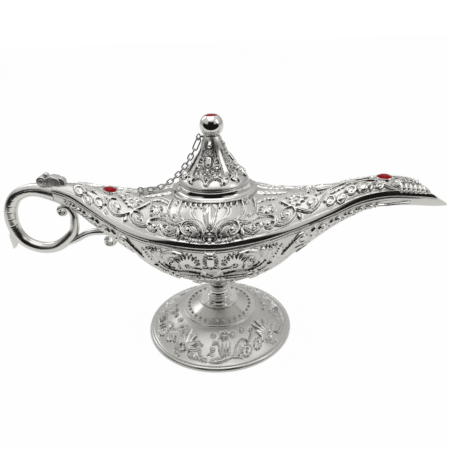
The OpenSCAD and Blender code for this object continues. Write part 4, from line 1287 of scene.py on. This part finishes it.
class StonesOperator(bpy.types.Operator):
    """Cuts the three red stones and finishes their settings."""

    bl_idname = "lamp.stones"
    bl_label = "Stones"

    def execute(self, context):
        for name, body, rows in (("finial_gem", "lid_unit", TOP_GEM_ROWS), ("tail_gem", "lamp", GEM_ROWS),
                                 ("spout_gem", "lamp", GEM_ROWS)):
            low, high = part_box(name)
            gem = turned(rows, 16, closed=False)
            if body == "lamp":
                x = ((low + high) / 2 / MM).x
                ahead, here, behind = (sum(hull_lines(at)[1:3]) for at in (x + 0.5, x, x - 0.5))
                tilt = math.atan(ahead - behind)
                bmesh.ops.translate(gem, vec=(0, 0, -GEM_SINK), verts=gem.verts)
                bmesh.ops.rotate(gem, matrix=Matrix.Rotation(-tilt, 3, "Y"), verts=gem.verts)
                bmesh.ops.translate(gem, vec=(x, 0, float(here) + SEAM_GAP), verts=gem.verts)
            else:
                bmesh.ops.translate(gem, vec=(0, 0, low.z / MM), verts=gem.verts)
            finish_mesh(name + "_cut", gem, "ruby", name, 4, body)
        use_finish(["tail_bezel", "spout_bezel"], "polished")
        return {"FINISHED"}


class HardwareOperator(bpy.types.Operator):
    """Finishes the chain, its eyes and the hidden clamp screw."""

    bl_idname = "lamp.hardware"
    bl_label = "Chain and hardware"

    def execute(self, context):
        chain = [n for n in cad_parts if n.startswith("chain")] + ["shell_eye", "lid_eye"]
        use_finish(chain, "wire")
        use_finish(["clamp_screw", "foot_washer", "nut_washer", "clamp_nut"], "steel")
        return {"FINISHED"}


def soft_lamp(name, place, aim, size, power):
    """A rectangular lamp that looks at the aim."""
    light = bpy.data.lights.new(name, "AREA")
    light.shape = "RECTANGLE"
    light.size, light.size_y = size
    light.energy = power
    lamp = bpy.data.objects.new(name, light)
    lamp.location = place
    lamp.rotation_euler = (Vector(aim) - Vector(place)).to_track_quat("-Z", "Y").to_euler()
    bpy.context.scene.collection.objects.link(lamp)


def floor_material():
    """Floor that is near white to the camera; glossy rays see it partly glowing pale grey, a painted
    bright reflection, and its front near black, a painted dark reflection in the plate.
    """
    material, tree, shader = new_material("pale_floor")
    feed(tree, shader, {"Base Color": (0.9, 0.9, 0.89, 1), "Roughness": 0.9, "Specular IOR Level": 0})
    ray = add(tree, "LightPath").outputs
    place = add(tree, "SeparateXYZ", {0: add(tree, "TexCoord").outputs["Object"]})
    front = soft_step(tree, place.outputs["Y"], *FLOOR_FRONT)
    surface = shader.outputs["BSDF"]
    # Camera rays see near white; glossy rays see a painted pale glow, then a painted near-black front
    for seen_by, share, glow in (("Is Camera Ray", 0.97, {"Strength": 1}),
                                 ("Is Glossy Ray", 0.6, {"Color": (0.84, 0.84, 0.82, 1)}),
                                 ("Is Glossy Ray", front, {"Color": NIGHT})):
        surface = either(tree, maths(tree, "MULTIPLY", ray[seen_by], share), surface,
                         add(tree, "Emission", glow).outputs["Emission"])
    feed(tree, only(tree, "OUTPUT_MATERIAL"), {"Surface": surface})
    return material


def room(ambient):
    """Pale room: brighter overhead, white to the camera, with dark fields before the lamp."""
    world = bpy.data.worlds.new("pale_room")
    world.use_nodes = True
    tree = world.node_tree
    where = add(tree, "TexCoord").outputs["Generated"]
    place = add(tree, "SeparateXYZ", {0: where}).outputs
    height = maths(tree, "MULTIPLY_ADD", noise(tree, where, 2.2, 1), 0.16, place["Z"])
    tone = add(tree, "ValToRGB", {"Fac": height})
    for at, _ in ROOM_TONES[1:-1]:
        tone.color_ramp.elements.new(at)
    for element, (_, share) in zip(tone.color_ramp.elements, ROOM_TONES):
        element.color = (ambient * share, ambient * share, ambient * share * 0.985, 1)
    turn = maths(tree, "ARCTAN2", place["X"], maths(tree, "MULTIPLY", place["Y"], -1))
    fields = [product(tree, soft_step(tree, height, *top), soft_step(tree, turn, *right),
                      soft_step(tree, turn, *left)) for top, right, left in DARK_FIELDS]
    back = only(tree, "BACKGROUND")
    feed(tree, back, {"Color": blend(tree, maths(tree, "MAXIMUM", *fields), tone.outputs["Color"], NIGHT)})
    white = add(tree, "Background", {"Color": (1, 1, 1, 1)})
    surface = either(tree, add(tree, "LightPath").outputs["Is Camera Ray"], back.outputs["Background"],
                     white.outputs["Background"])
    feed(tree, only(tree, "OUTPUT_WORLD"), {"Surface": surface})
    return world


class StudioOperator(bpy.types.Operator):
    """Sets the pale floor, the soft lamps and the camera."""

    bl_idname = "lamp.studio"
    bl_label = "Studio"

    def execute(self, context):
        scene = context.scene
        levels = scene.studio_levels
        floor_bm = bmesh.new()
        bmesh.ops.create_grid(floor_bm, x_segments=1, y_segments=1, size=FLOOR_HALF)
        mesh = bpy.data.meshes.new("floor")
        floor_bm.to_mesh(mesh)
        floor_bm.free()
        floor = bpy.data.objects.new("floor", mesh)
        scene.collection.objects.link(floor)
        mesh.materials.append(floor_material())
        scene.world = room(levels.ambient)

        for name, place, size, level in LAMPS:
            soft_lamp(name, place, LAMP_AIM, size, getattr(levels, level))

        camera_data = bpy.data.cameras.new("camera")
        camera_data.sensor_width = CAMERA_SENSOR
        camera_data.lens = CAMERA_LENS
        camera_data.clip_start = CAMERA_NEAR
        camera = bpy.data.objects.new("camera", camera_data)
        scene.collection.objects.link(camera)
        forward = Vector(CAMERA_FORWARD).normalized()
        right = Vector(CAMERA_RIGHT).normalized()
        up = right.cross(forward)
        side = right * math.cos(CAMERA_ROLL) - up * math.sin(CAMERA_ROLL)
        top = right * math.sin(CAMERA_ROLL) + up * math.cos(CAMERA_ROLL)
        turn = Matrix((side, top, -forward)).transposed().to_4x4()
        camera.matrix_world = Matrix.Translation(Vector(CAMERA_AT) * MM) @ turn
        scene.camera = camera
        scene.view_settings.view_transform = "Standard"
        return {"FINISHED"}


class LampPanel(bpy.types.Panel):
    """Shows the lamp's sizes, colours and light levels, and a button for each step, in the sidebar."""

    bl_idname = "VIEW3D_PT_oil_lamp"
    bl_label = "Oil Lamp"
    bl_space_type = "VIEW_3D"
    bl_region_type = "UI"
    bl_category = "Oil Lamp"

    def draw(self, context):
        layout = self.layout
        for group in (context.scene.lamp_sizes, context.scene.lamp_colours,
                      context.scene.studio_levels):
            column = layout.column(align=True)
            for name in group.__annotations__:
                column.prop(group, name)
        for step in STEPS:
            layout.operator(step.bl_idname)


STEPS = (ShellsOperator, TurnedOperator, HandleOperator, StonesOperator, HardwareOperator,
         StudioOperator)
CLASSES = (LampSizes, LampColours, StudioLevels) + STEPS + (LampPanel,)


def register():
    for item in CLASSES:
        bpy.utils.register_class(item)
    bpy.types.Scene.lamp_sizes = bpy.props.PointerProperty(type=LampSizes)
    bpy.types.Scene.lamp_colours = bpy.props.PointerProperty(type=LampColours)
    bpy.types.Scene.studio_levels = bpy.props.PointerProperty(type=StudioLevels)


def unregister():
    del bpy.types.Scene.studio_levels
    del bpy.types.Scene.lamp_colours
    del bpy.types.Scene.lamp_sizes
    for item in reversed(CLASSES):
        bpy.utils.unregister_class(item)


def main():
    register()
    bpy.ops.lamp.shells()
    bpy.ops.lamp.turned()
    bpy.ops.lamp.handle()
    bpy.ops.lamp.stones()
    bpy.ops.lamp.hardware()
    bpy.ops.lamp.studio()


if __name__ == "__main__":
    main()
